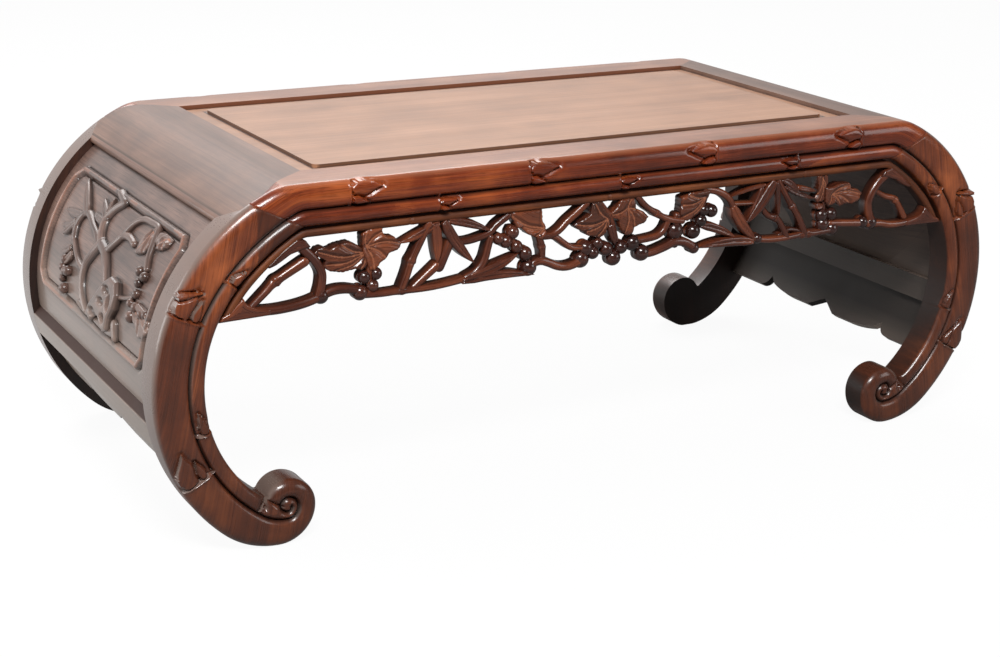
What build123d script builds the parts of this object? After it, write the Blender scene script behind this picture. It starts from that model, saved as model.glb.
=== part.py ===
from build123d import *
from math import atan2, cos, degrees, radians, sin
import os

# Kang table: a low hardwood table with scroll legs, a framed panel top and openwork aprons.
#
# Millimetres. X runs along the table, the front faces -Y, Z is up, and the origin is on the
# floor under the middle of the table. Elevations are drawn with X across and Z up.

# ---- driving dimensions -----------------------------------------------------------------
HEIGHT = 376.0            # floor to table top
DEPTH = 470.0             # over the front and rear faces
RECESS_HALF_X = 350.0     # half the length of the opening in the top frame
END_FLAT = 28.0           # from that opening to where the top starts to bend down
SHOULDER_RADIUS = 64.0    # first, tight bend of the outside
SHOULDER_TURN = 24.0      # degrees turned by that bend
BOW_TURN = 138.0          # slope at which the leg's long bow hands over to the foot
FOOT_RADIUS = 90.0        # outside of the foot
FOOT_FLAT = 0.6           # depth planed off the scroll for the foot to stand on

RAIL_HEIGHT = 43.0        # long rail, top to underside
RAIL_WIDTH = 60.0
LEG_THICKNESS = 38.0      # across Y
LEG_WIDTH = 53.0          # outside to inside of the leg's curve
BEAD_SPLIT_LEG = 16.5     # width of the leg's inner bamboo bead
BEAD_SPLIT_RAIL = 16.5    # height of the rail's lower bamboo bead
BEAD_GROOVE = (9.0, 5.0)  # width and depth of the groove between the two beads
OUTER_BEVEL = 6.0         # eased edges of the outer bead
INNER_BEVEL = 4.5         # and of the inner bead

SCROLL_BOTTOM_RADIUS = 40.0
SCROLL_TIP_RADIUS = 31.0
SCROLL_TOP_RADIUS = 26.0

FIELD_MARGIN_X = 24.0     # ledge between the opening and the raised field
FIELD_MARGIN_Y = 21.5
FIELD_DROP = 1.2          # field below the frame
LEDGE_DROP = 4.5          # ledge below the frame
FIELD_CORNER = 8.0
PANEL_THICKNESS = 18.0
TONGUE_TOP_DROP = 8.0     # top of the panel's tongue below the frame
TONGUE_THICKNESS = 6.0
TONGUE_LENGTH = 8.0

BOARD_THICKNESS = 20.0    # shoulder board
BOARD_END_TURN = 38.2     # degrees round the bow where the shoulder board ends
BOARD_NOSE_RADIUS = 4.0   # rounded nose along that end
CORNER_TURN = 30.0        # where rail, leg and shoulder board meet
MITRE_HEEL_SETBACK = 9.0  # foot of the rail-to-leg mitre before the top starts to bend

PANEL_FACE_DROP = 9.0     # side panel behind the leg's outside
SIDE_PANEL_THICKNESS = 12.0
SIDE_TONGUE = 6.0         # thickness of the side panel's and the skirt's tongues
SIDE_TONGUE_LENGTH = 5.0
BEAD_FRAME_MARGIN = 23.0  # from the legs to the bead frame
BEAD_FRAME_TURNS = (47.0, 89.2)
BEAD_FRAME_WIDTH = 6.0
BEAD_FRAME_RISE = 5.0
BEAD_FRAME_CORNER = 9.0

LOWER_RAIL_TURNS = (97.6, 106.5)
LOWER_RAIL_THICKNESS = 30.0
LOWER_RAIL_BEVEL = (10.0, 2.2)      # radial size, degrees
SKIRT_FACE_DROP = 11.6
SKIRT_THICKNESS = 9.7
SKIRT_END_TURN = 124.9
SKIRT_RISE = 15.0         # height of the middle cusp above the skirt's lowest line
SKIRT_TONGUE_TURN = 8.0   # how far down the leg the skirt's side tongues reach
SKIRT_FOOT_FLAT = 66.0    # flat beside the leg
SKIRT_CUSP_WIDTH = 15.5   # quarter round from that flat to the outer cusp
SKIRT_OGEE_TURN = 17.0    # degrees of the sweep up to that cusp,
SKIRT_OGEE_SHARE = 0.79   # and its share of the way from the flat to the cusp
SKIRT_LOW_SHARE = 0.52    # flat on each side of the middle cusp, as shares of the way from the
SKIRT_MIDDLE_SHARE = 0.22 # middle to the outer cusp

APRON_SETBACK = 7.0       # apron's face behind the rail's
APRON_THICKNESS = 16.0
APRON_GAP = 3.5           # shadow gap under the rail and inside the leg
APRON_DROP = 88.0         # rail's underside to the apron's lowest line
APRON_STRIP = 8.5         # bamboo strip along the apron's edge
APRON_TONGUE = (6.0, 6.0)           # thickness, depth into the rail and the legs
APRON_TONGUE_SETBACK = 38.0         # end of the tongue before the top starts to bend
APRON_TENON_TURNS = (48.0, 58.0)    # tenons into the legs

BATTEN_SPACING = 200.0
BATTEN_WIDTH = 34.0
BATTEN_HEIGHT = 20.0
BATTEN_KEY = (18.0, 24.0, 5.0)      # dovetail let into the panel: neck, top, depth
BATTEN_TENON = (20.0, 12.0, 12.0)   # width, height, length

LEG_TENON = (22.0, 16.0, 14.0)      # along the mitre, across Y, length
LEG_TENON_OFFSET = 7.0              # from the mitre's heel
LEG_TENON_SETBACK = 9.0             # behind the leg's face
LOWER_RAIL_TENON = (16.0, 19.0, 10.0)   # radial size, height, length
BOARD_TENON = (26.0, 12.0, 7.0)     # along the mitre, length, thickness
BOARD_TENON_DROP = 9.0              # its top below the table top
PEG_DIAMETER = 7.0
PEG_SETBACK = 8.0                   # blind end of the peg behind the rail's face

JOINT_GAP = 0.1           # clearance all round a tenon
PANEL_GAP = 0.6           # room for the panels to move with the seasons

# ---- places worked out from them --------------------------------------------------------
FLAT_HALF = RECESS_HALF_X + END_FLAT
FRONT = -DEPTH / 2
LEG_BACK = FRONT + LEG_THICKNESS
RAIL_BACK = FRONT + RAIL_WIDTH
RECESS_HALF_Y = -RAIL_BACK
RAIL_UNDER = HEIGHT - RAIL_HEIGHT
SHOULDER_FALL = SHOULDER_RADIUS * (1 - cos(radians(SHOULDER_TURN)))
FOOT_FALL = FOOT_RADIUS * (1 + cos(radians(BOW_TURN)))
BOW_FALL_PER_RADIUS = cos(radians(SHOULDER_TURN)) - cos(radians(BOW_TURN))
BOW_RADIUS = (HEIGHT + FOOT_FLAT - SHOULDER_FALL - FOOT_FALL) / BOW_FALL_PER_RADIUS
BOW_X = FLAT_HALF + (SHOULDER_RADIUS - BOW_RADIUS) * sin(radians(SHOULDER_TURN))
BOW_Z = HEIGHT - SHOULDER_RADIUS + (SHOULDER_RADIUS - BOW_RADIUS) * cos(radians(SHOULDER_TURN))
INNER_RADIUS = BOW_RADIUS - LEG_WIDTH
SPLIT_RADIUS = INNER_RADIUS + BEAD_SPLIT_LEG
PANEL_FACE = BOW_RADIUS - PANEL_FACE_DROP
PANEL_BACK = PANEL_FACE - SIDE_PANEL_THICKNESS
SKIRT_FACE = BOW_RADIUS - SKIRT_FACE_DROP
SKIRT_BACK = SKIRT_FACE - SKIRT_THICKNESS
LOWER_RAIL_BACK = BOW_RADIUS - LOWER_RAIL_THICKNESS
PANEL_UNDER = HEIGHT - FIELD_DROP - PANEL_THICKNESS
APRON_FRONT = FRONT + APRON_SETBACK
APRON_BACK = APRON_FRONT + APRON_THICKNESS
FAR = 2000.0              # beyond the table, for cutting shapes


def on_bow(radius, turn):
    """Point at a radius from the bow's centre, turned clockwise from straight up."""
    return BOW_X + radius * sin(radians(turn)), BOW_Z + radius * cos(radians(turn))


# ---- drawing helpers --------------------------------------------------------------------
def tangent_arcs(start, turn, steps):
    """Clockwise arcs, each tangent to the last. Each step is (radius, turn at its end)."""
    edges = []
    x, z = start
    for radius, end_turn in steps:
        centre = (x - radius * sin(radians(turn)), z - radius * cos(radians(turn)))

        def at(angle):
            return centre[0] + radius * sin(radians(angle)), centre[1] + radius * cos(radians(angle))

        edges.append(ThreePointArc((x, z), at((turn + end_turn) / 2), at(end_turn)))
        x, z = at(end_turn)
        turn = end_turn
    return edges, (x, z)


def bow_arc(radius, turn_from, turn_to):
    """Arc about the bow's centre."""
    middle = (turn_from + turn_to) / 2
    return ThreePointArc(on_bow(radius, turn_from), on_bow(radius, middle), on_bow(radius, turn_to))


def eased_shoulder(level, big_radius, middle_radius, turns):
    """Start and first radius of a line that leaves a level and joins a circle about the bow's centre."""
    first, second = (radians(turn) for turn in turns)
    rest = middle_radius * cos(first) - (middle_radius - big_radius) * cos(second)
    tight = (level - BOW_Z - rest) / (1 - cos(first))
    start = BOW_X - (tight - middle_radius) * sin(first) - (middle_radius - big_radius) * sin(second)
    return start, tight


def elevation(profile, y_from, y_to):
    """Solid of a profile drawn in X and Z, between two depths."""
    return extrude(Plane.XZ.offset(-y_to) * profile, y_to - y_from)


def plan(profile, z_from, z_to):
    """Solid of a profile drawn in X and Y, between two heights."""
    return extrude(Pos(0, 0, z_from) * profile, z_to - z_from)


def block(x_from, x_to, y_from, y_to, z_from, z_to):
    size = Box(x_to - x_from, y_to - y_from, z_to - z_from)
    return Pos((x_from + x_to) / 2, (y_from + y_to) / 2, (z_from + z_to) / 2) * size


def bow_sector(r_from, r_to, turn_from, turn_to, y_from, y_to):
    """Part of a shell about the bow's axis."""
    outline = [
        bow_arc(r_to, turn_from, turn_to),
        Line(on_bow(r_to, turn_to), on_bow(r_from, turn_to)),
        bow_arc(r_from, turn_from, turn_to),
        Line(on_bow(r_from, turn_from), on_bow(r_to, turn_from)),
    ]
    return elevation(make_face(outline), y_from, y_to)


def both_ends(part):
    """The part and its mirror image, fused across the middle of the table."""
    return part + mirror(part, about=Plane.YZ)


def to_left(part):
    return mirror(part, about=Plane.YZ)


def to_rear(part):
    return mirror(part, about=Plane.XZ)


# ---- lines of the front frame -----------------------------------------------------------
INNER_TURNS = (30.0, 45.0)
INNER_EASE = INNER_RADIUS + 93.0   # flatter stretch between the tight bend and the bow
SPLIT_TURNS = (26.0, 50.0)
SPLIT_EASE = SPLIT_RADIUS + 46.5
SPLIT_JOIN_TURN = 141.0   # inside the leg, behind the end of the curl
INNER_BEAD_END_TURN = 146.0   # inside the scroll
BEAD_LAP = 2.0            # overlap of the two beads under their groove
GROOVE_END_TURN = 145.0   # where the groove runs out on the scroll


def inner_line(end_turn, inset=0):
    """Underside of the rail and inside of the leg, or a line that keeps a distance from it."""
    level = RAIL_UNDER - inset
    radius = INNER_RADIUS - inset
    ease = INNER_EASE - inset
    start, tight = eased_shoulder(level, radius, ease, INNER_TURNS)
    steps = [(tight, INNER_TURNS[0]), (ease, INNER_TURNS[1]), (radius, end_turn)]
    arcs, end = tangent_arcs((start, level), 0, steps)
    return [Line((0, level), (start, level))] + arcs, end


def outer_line():
    """Top of the rail, outside of the leg and round the scroll to its curl."""
    steps = [
        (SHOULDER_RADIUS, SHOULDER_TURN),
        (BOW_RADIUS, BOW_TURN),
        (FOOT_RADIUS, 180),
        (SCROLL_BOTTOM_RADIUS, 270),
        (SCROLL_TIP_RADIUS, 360),
        (SCROLL_TOP_RADIUS, 450),
    ]
    arcs, end = tangent_arcs((FLAT_HALF, HEIGHT), 0, steps)
    return [Line((0, HEIGHT), (FLAT_HALF, HEIGHT))] + arcs, end


def split_line(radius, level, end_turn):
    """Line between the two bamboo beads, from the middle of the rail down the leg."""
    start, tight = eased_shoulder(level, radius, SPLIT_EASE, SPLIT_TURNS)
    steps = [(tight, SPLIT_TURNS[0]), (SPLIT_EASE, SPLIT_TURNS[1]), (radius, end_turn)]
    arcs, end = tangent_arcs((start, level), 0, steps)
    return [Line((0, level), (start, level))] + arcs, end


# ---- front frame: rail and legs share one outline ---------------------------------------
def groove(edges):
    """V-shaped groove along a line on the front face."""
    width, depth = BEAD_GROOVE
    path = Plane.XZ.offset(-FRONT) * Wire(edges)
    section = make_face(Polyline((-width, -depth), (width, -depth), (0, depth), close=True))
    return sweep(Plane(path @ 0, x_dir=(0, 0, 1), z_dir=path % 0) * section, path=path)


def eased_front(outline, depth, eased_lines, bevel):
    """Board of an outline, with some edges of its front face beveled."""
    body = elevation(make_face(outline), FRONT, FRONT + depth)
    middles = [line @ 0.5 for line in eased_lines]
    front_edges = body.edges().filter_by_position(Axis.Y, FRONT - 0.01, FRONT + 0.01)
    chosen = [
        edge
        for edge in front_edges
        if any(abs(edge.position_at(0.5).X - m.X) + abs(edge.position_at(0.5).Z - m.Y) < 0.01 for m in middles)
    ]
    return chamfer(chosen, bevel)


def front_frame(depth):
    """Right half of the rail with its leg, rounded and beaded, before it is cut at the mitre."""
    outer, curl_end = outer_line()
    split, split_end = split_line(SPLIT_RADIUS, RAIL_UNDER + BEAD_SPLIT_RAIL, SPLIT_JOIN_TURN)
    closing = [Line(curl_end, split_end), Line((0, HEIGHT), (0, RAIL_UNDER + BEAD_SPLIT_RAIL))]
    body = eased_front(outer + split + closing, depth, outer, OUTER_BEVEL)

    inner, inner_end = inner_line(INNER_BEAD_END_TURN)
    lap_level = RAIL_UNDER + BEAD_SPLIT_RAIL + BEAD_LAP
    lap, lap_end = split_line(SPLIT_RADIUS + BEAD_LAP, lap_level, INNER_BEAD_END_TURN)
    closing = [Line(inner_end, lap_end), Line((0, lap_level), (0, RAIL_UNDER))]
    body += eased_front(inner + lap + closing, depth, inner, INNER_BEVEL)

    groove_line, _ = split_line(SPLIT_RADIUS, RAIL_UNDER + BEAD_SPLIT_RAIL, GROOVE_END_TURN)
    body -= groove(groove_line)
    return body & block(-1, FAR, -FAR, FAR, 0, FAR)


# ---- the mitre between rail and leg -----------------------------------------------------
HEEL = Vector(FLAT_HALF - MITRE_HEEL_SETBACK, 0, RAIL_UNDER)
TOE = Vector(on_bow(BOW_RADIUS, CORNER_TURN)[0], 0, on_bow(BOW_RADIUS, CORNER_TURN)[1])
MITRE = Plane(HEEL, x_dir=TOE - HEEL, z_dir=Vector(0, -1, 0).cross(TOE - HEEL))


def mitre_block(along, across, up):
    """Block in the mitre's own directions: from its heel, across Y, and out of the leg."""
    x_from, x_to = along
    y_from, y_to = across
    z_from, z_to = up
    size = Box(x_to - x_from, y_to - y_from, z_to - z_from)
    middle = Pos((x_from + x_to) / 2, 0, (z_from + z_to) / 2)
    return Pos(0, (y_from + y_to) / 2, 0) * MITRE * middle * size


RAIL_SIDE = mitre_block((-FAR, FAR), (-FAR, FAR), (0, FAR))
LEG_SIDE = mitre_block((-FAR, FAR), (-FAR, FAR), (-FAR, 0))


def leg_tenon(gap=0):
    """Tenon on the leg's mitre, let into the rail."""
    width, thickness, length = LEG_TENON
    along = (LEG_TENON_OFFSET - gap, LEG_TENON_OFFSET + width + gap)
    front = FRONT + LEG_TENON_SETBACK
    return mitre_block(along, (front - gap, front + thickness + gap), (-1, length + gap))


def corner_peg(gap=0):
    """Peg from the back of the rail through the leg's tenon."""
    width, _, length = LEG_TENON
    middle = MITRE.origin + MITRE.x_dir * (LEG_TENON_OFFSET + width / 2) + MITRE.z_dir * length / 2
    front = FRONT + PEG_SETBACK - gap
    return elevation(Pos(middle.X, middle.Z) * RegularPolygon(PEG_DIAMETER / 2 + gap, 8), front, RAIL_BACK)


# ---- shoulder board ---------------------------------------------------------------------
def board_plan():
    """Plan of the right shoulder board, mitred against the rails and the legs."""
    end_x = on_bow(BOW_RADIUS, BOARD_END_TURN)[0]
    half = [(RECESS_HALF_X, RECESS_HALF_Y), (TOE.X, -FRONT), (end_x, -LEG_BACK)]
    return make_face(Polyline(half + [(x, -y) for x, y in reversed(half)], close=True))


def board_top(depth):
    """Line at a depth under the shoulder board's face, from the middle of the table."""
    steps = [(SHOULDER_RADIUS - depth, SHOULDER_TURN), (BOW_RADIUS - depth, BOARD_END_TURN)]
    arcs, end = tangent_arcs((FLAT_HALF, HEIGHT - depth), 0, steps)
    return [Line((0, HEIGHT - depth), (FLAT_HALF, HEIGHT - depth))] + arcs, end


def board_body():
    """Right shoulder board before its joints."""
    face, face_end = board_top(0)
    under, under_end = board_top(BOARD_THICKNESS)
    closing = [Line(face_end, under_end), Line((0, HEIGHT - BOARD_THICKNESS), (0, HEIGHT))]
    return elevation(make_face(face + under + closing), FRONT, -FRONT) & plan(board_plan(), 0, FAR)


def board_space():
    """Everything above the right shoulder board's underside, for cutting rails and legs."""
    under, under_end = board_top(BOARD_THICKNESS)
    far = on_bow(2 * BOW_RADIUS, BOARD_END_TURN)
    closing = [Line(under_end, far), Line(far, (0, far[1])), Line((0, far[1]), (0, HEIGHT - BOARD_THICKNESS))]
    return elevation(make_face(under + closing), FRONT - 1, 1 - FRONT) & plan(board_plan(), 0, FAR)


def board_tenon(gap=0):
    """Tenon of the shoulder board into the front rail, square to their mitre."""
    width, length, thickness = BOARD_TENON
    run = TOE.X - RECESS_HALF_X
    rise = -FRONT - RECESS_HALF_Y
    size = Box(width + 2 * gap, 2 * (length + gap), thickness + 2 * gap)
    level = HEIGHT - BOARD_TENON_DROP - thickness / 2
    middle = Pos(RECESS_HALF_X + run / 2, -RECESS_HALF_Y - rise / 2, level)
    return middle * Rot(0, 0, -degrees(atan2(rise, run))) * size


# ---- tongues and tenons between the pieces ----------------------------------------------
def panel_tongue(gap=0):
    """Tongue all round the top panel. A groove is its tongue with a gap."""
    ends = TONGUE_LENGTH - PANEL_GAP + gap
    play = min(gap, JOINT_GAP)
    top = HEIGHT - TONGUE_TOP_DROP
    half_x, half_y = RECESS_HALF_X + ends, RECESS_HALF_Y + ends
    return block(-half_x, half_x, -half_y, half_y, top - TONGUE_THICKNESS - play, top + play)


def side_tongue(gap=0):
    """Tongue all round the right side panel."""
    ends = SIDE_TONGUE_LENGTH + gap
    turn = degrees(ends / PANEL_FACE)
    back = PANEL_BACK + (SIDE_PANEL_THICKNESS - SIDE_TONGUE) / 2
    turns = (BOARD_END_TURN - turn, LOWER_RAIL_TURNS[0] + turn)
    half = -LEG_BACK + ends
    return bow_sector(back - gap, back + SIDE_TONGUE + gap, *turns, -half, half)


def skirt_tongue(gap=0):
    """Tongue of the right skirt, up into the lower rail and sideways into the legs."""
    ends = SIDE_TONGUE_LENGTH + gap
    back = SKIRT_BACK + (SKIRT_THICKNESS - SIDE_TONGUE) / 2
    top = LOWER_RAIL_TURNS[1] - degrees(ends / SKIRT_FACE)
    foot = LOWER_RAIL_TURNS[1] + SKIRT_TONGUE_TURN + degrees(gap / SKIRT_FACE)
    half = -LEG_BACK + ends
    return bow_sector(back - gap, back + SIDE_TONGUE + gap, top, foot, -half, half)


def lower_rail_tenons(gap=0):
    """Tenons of the right lower rail, as one bar through both legs' mortises."""
    size, height, length = LOWER_RAIL_TENON
    radius = (BOW_RADIUS + LOWER_RAIL_BACK) / 2
    turn = sum(LOWER_RAIL_TURNS) / 2
    half_turn = degrees((height / 2 + gap) / radius)
    half = -LEG_BACK + length + gap
    return bow_sector(radius - size / 2 - gap, radius + size / 2 + gap, turn - half_turn, turn + half_turn, -half, half)


def apron_tongue(gap=0):
    """Tongue of the front apron, into the rail and, as tenons, into the legs."""
    thickness, depth = APRON_TONGUE
    front = (APRON_FRONT + APRON_BACK - thickness) / 2 - gap
    back = front + thickness + 2 * gap
    half = FLAT_HALF - APRON_TONGUE_SETBACK + gap
    top = block(-half, half, front, back, RAIL_UNDER - APRON_GAP - 1, RAIL_UNDER + depth + gap)
    first, last = APRON_TENON_TURNS
    extra = degrees(gap / INNER_RADIUS)
    r_from, r_to = INNER_RADIUS - APRON_GAP - 1, INNER_RADIUS + depth + gap
    tenon = bow_sector(r_from, r_to, first - extra, last + extra, front, back)
    return top, tenon + to_left(tenon)


def batten_tenon(gap=0):
    """Stub tenons of a batten at the middle of the table, as one bar through both rails."""
    width, height, length = BATTEN_TENON
    half_x, half_y = width / 2 + gap, -RAIL_BACK + length + gap
    middle = PANEL_UNDER - BATTEN_HEIGHT / 2
    return block(-half_x, half_x, -half_y, half_y, middle - height / 2 - gap, middle + height / 2 + gap)


def batten_key(gap=0):
    """Dovetail key of a batten at the middle of the table."""
    neck, top, depth = BATTEN_KEY
    half_neck, half_top = neck / 2 + gap, top / 2 + gap
    level = PANEL_UNDER + depth + gap
    corners = [(-half_neck, PANEL_UNDER), (half_neck, PANEL_UNDER), (half_top, level), (-half_top, level)]
    half_y = RECESS_HALF_Y - PANEL_GAP
    return elevation(make_face(Polyline(*corners, close=True)), -half_y, half_y)


BATTEN_PLACES = {
    "top_batten_left": -BATTEN_SPACING,
    "top_batten_middle": 0.0,
    "top_batten_right": BATTEN_SPACING,
}


# ---- the pieces -------------------------------------------------------------------------
def long_rail():
    """Front rail."""
    half = front_frame(RAIL_WIDTH) & RAIL_SIDE
    half -= board_space()
    half -= board_tenon(JOINT_GAP)
    half -= leg_tenon(JOINT_GAP)
    half -= corner_peg(JOINT_GAP)
    rail = both_ends(half) - panel_tongue(PANEL_GAP) - apron_tongue(JOINT_GAP)[0]
    for x in BATTEN_PLACES.values():
        rail -= Pos(x, 0, 0) * batten_tenon(JOINT_GAP)
    return rail


def leg():
    """Front right leg."""
    body = front_frame(LEG_THICKNESS) & LEG_SIDE
    body -= board_space()
    body += leg_tenon()
    body -= corner_peg(JOINT_GAP)
    body -= side_tongue(JOINT_GAP)
    body -= skirt_tongue(JOINT_GAP)
    body -= lower_rail_tenons(JOINT_GAP)
    return body - apron_tongue(JOINT_GAP)[1]


def shoulder_board():
    """Right shoulder board, the flat end of the top bent down over the legs."""
    body = board_body()
    nose_place = on_bow(BOW_RADIUS - BOARD_NOSE_RADIUS, BOARD_END_TURN)
    body += elevation(Pos(*nose_place) * Circle(BOARD_NOSE_RADIUS), LEG_BACK, -LEG_BACK)
    tenon = board_tenon()
    body += tenon
    body += to_rear(tenon)
    return body - panel_tongue(PANEL_GAP) - side_tongue(JOINT_GAP)


def cornered_sector(r_from, r_to, turns, half_y, corner):
    """Part of a shell about the bow's axis, with its four corners cut off."""
    body = bow_sector(r_from, r_to, *turns, -half_y, half_y)
    corners = [edge for edge in body.edges() if abs(edge.length - (r_to - r_from)) < 0.01]
    return chamfer(corners, corner)


def side_panel():
    """Right side panel with its raised bead frame."""
    body = bow_sector(PANEL_BACK, PANEL_FACE, BOARD_END_TURN, LOWER_RAIL_TURNS[0], LEG_BACK, -LEG_BACK)
    r_top = PANEL_FACE + BEAD_FRAME_RISE
    first, last = BEAD_FRAME_TURNS
    half_y = -LEG_BACK - BEAD_FRAME_MARGIN
    frame = cornered_sector(PANEL_FACE - 1, r_top, BEAD_FRAME_TURNS, half_y, BEAD_FRAME_CORNER)
    width_turn = degrees(BEAD_FRAME_WIDTH / PANEL_FACE)
    turns = (first + width_turn, last - width_turn)
    hole_corner = BEAD_FRAME_CORNER - BEAD_FRAME_WIDTH
    frame -= cornered_sector(PANEL_FACE - 2, r_top + 1, turns, half_y - BEAD_FRAME_WIDTH, hole_corner)
    return body + frame + side_tongue()


def lower_rail():
    """Rail between the legs under the right side panel."""
    first, last = LOWER_RAIL_TURNS
    bevel, bevel_turn = LOWER_RAIL_BEVEL
    bevel_top, bevel_end = on_bow(BOW_RADIUS - bevel, first), on_bow(BOW_RADIUS, first + bevel_turn)
    outline = [
        Line(on_bow(LOWER_RAIL_BACK, first), bevel_top),
        Line(bevel_top, bevel_end),
        bow_arc(BOW_RADIUS, first + bevel_turn, last),
        Line(on_bow(BOW_RADIUS, last), on_bow(LOWER_RAIL_BACK, last)),
        bow_arc(LOWER_RAIL_BACK, first, last),
    ]
    body = elevation(make_face(outline), LEG_BACK, -LEG_BACK)
    body += lower_rail_tenons()
    return body - side_tongue(JOINT_GAP) - skirt_tongue(JOINT_GAP)


def skirt():
    """Scalloped board under the right lower rail."""
    body = bow_sector(SKIRT_BACK, SKIRT_FACE, LOWER_RAIL_TURNS[1], SKIRT_END_TURN, LEG_BACK, -LEG_BACK)
    low = on_bow(SKIRT_FACE, SKIRT_END_TURN)
    out = Vector(sin(radians(SKIRT_END_TURN)), 0, cos(radians(SKIRT_END_TURN)))
    face = Plane((low[0], 0, low[1]), x_dir=(0, 1, 0), z_dir=out)
    foot_half = -LEG_BACK - SKIRT_FOOT_FLAT
    cusp_half = foot_half - SKIRT_CUSP_WIDTH
    quarter = CenterArc((foot_half, SKIRT_CUSP_WIDTH), SKIRT_CUSP_WIDTH, 180, 90)
    low_half, middle_half = cusp_half * SKIRT_LOW_SHARE, cusp_half * SKIRT_MIDDLE_SHARE
    ogee_radius = (cusp_half - low_half) * SKIRT_OGEE_SHARE / sin(radians(SKIRT_OGEE_TURN))
    slope = JernArc((low_half, 0), (1, 0), ogee_radius, SKIRT_OGEE_TURN)
    slope_rise = Line(slope @ 1, (cusp_half, SKIRT_CUSP_WIDTH))
    slope_middle = Line((middle_half, 0), (0, SKIRT_RISE))
    below = -SKIRT_RISE
    ends = [
        Line((foot_half, 0), (foot_half, below)),
        Line((foot_half, below), (0, below)),
        Line((0, below), (0, SKIRT_RISE)),
        Line((low_half, 0), (middle_half, 0)),
    ]
    scallop = make_face([quarter, slope, slope_rise, slope_middle, *ends])
    cut = extrude(face * scallop, SKIRT_THICKNESS * 2, both=True)
    return body - cut - to_rear(cut) + skirt_tongue()


def top_panel():
    """Panel of the top: a raised field on a ledge, tongued all round, keyed for its battens."""
    half_x, half_y = RECESS_HALF_X - PANEL_GAP, RECESS_HALF_Y - PANEL_GAP
    body = block(-half_x, half_x, -half_y, half_y, PANEL_UNDER, HEIGHT - LEDGE_DROP)
    field_x, field_y = RECESS_HALF_X - FIELD_MARGIN_X, RECESS_HALF_Y - FIELD_MARGIN_Y
    field = RectangleRounded(2 * field_x, 2 * field_y, FIELD_CORNER)
    body += plan(field, HEIGHT - LEDGE_DROP - 1, HEIGHT - FIELD_DROP)
    body += panel_tongue()
    for x in BATTEN_PLACES.values():
        body -= Pos(x, 0, 0) * batten_key(JOINT_GAP)
    return body


def top_batten():
    """Batten across the underside of the top panel."""
    half_x = BATTEN_WIDTH / 2
    body = block(-half_x, half_x, RAIL_BACK, -RAIL_BACK, PANEL_UNDER - BATTEN_HEIGHT, PANEL_UNDER)
    return body + batten_key() + batten_tenon()


# ---- openwork apron ---------------------------------------------------------------------
def ribbon(width, *points):
    """Branch of an even width, mitred at its bends."""
    points = [Vector(*point) for point in points]
    runs = [(b - a).normalized() for a, b in zip(points, points[1:])]
    left, right = [], []
    for point, before, after in zip(points, [runs[0]] + runs, runs + [runs[-1]]):
        across = (before + after).rotate(Axis.Z, 90).normalized()
        half = across * (width / 2 / across.dot(after.rotate(Axis.Z, 90)))
        left.append(point + half)
        right.append(point - half)
    return make_face(Polyline(*left, *reversed(right), close=True))


def leaf(width, base, tip):
    """Pointed leaf from its base to its tip, cut with six flats."""
    base, tip = Vector(*base), Vector(*tip)
    run = tip - base
    side = run.rotate(Axis.Z, 90).normalized() * width / 2
    near, far = base + run * 0.3, base + run * 0.7
    return make_face(Polyline(base, near + side, far + side, tip, far - side, near - side, close=True))


def berry(radius, middle):
    """Berry, cut with six flats."""
    return Pos(*middle) * RegularPolygon(radius, 6)


def place(x, z):
    """Point of the apron's drawing on this table."""
    drawn_x, drawn_z, drawn_drop = APRON_DRAWN_AT
    corner = eased_shoulder(RAIL_UNDER, INNER_RADIUS, INNER_EASE, INNER_TURNS)[0]
    return x * corner / drawn_x, RAIL_UNDER + (z - drawn_z) * APRON_DROP / drawn_drop


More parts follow.
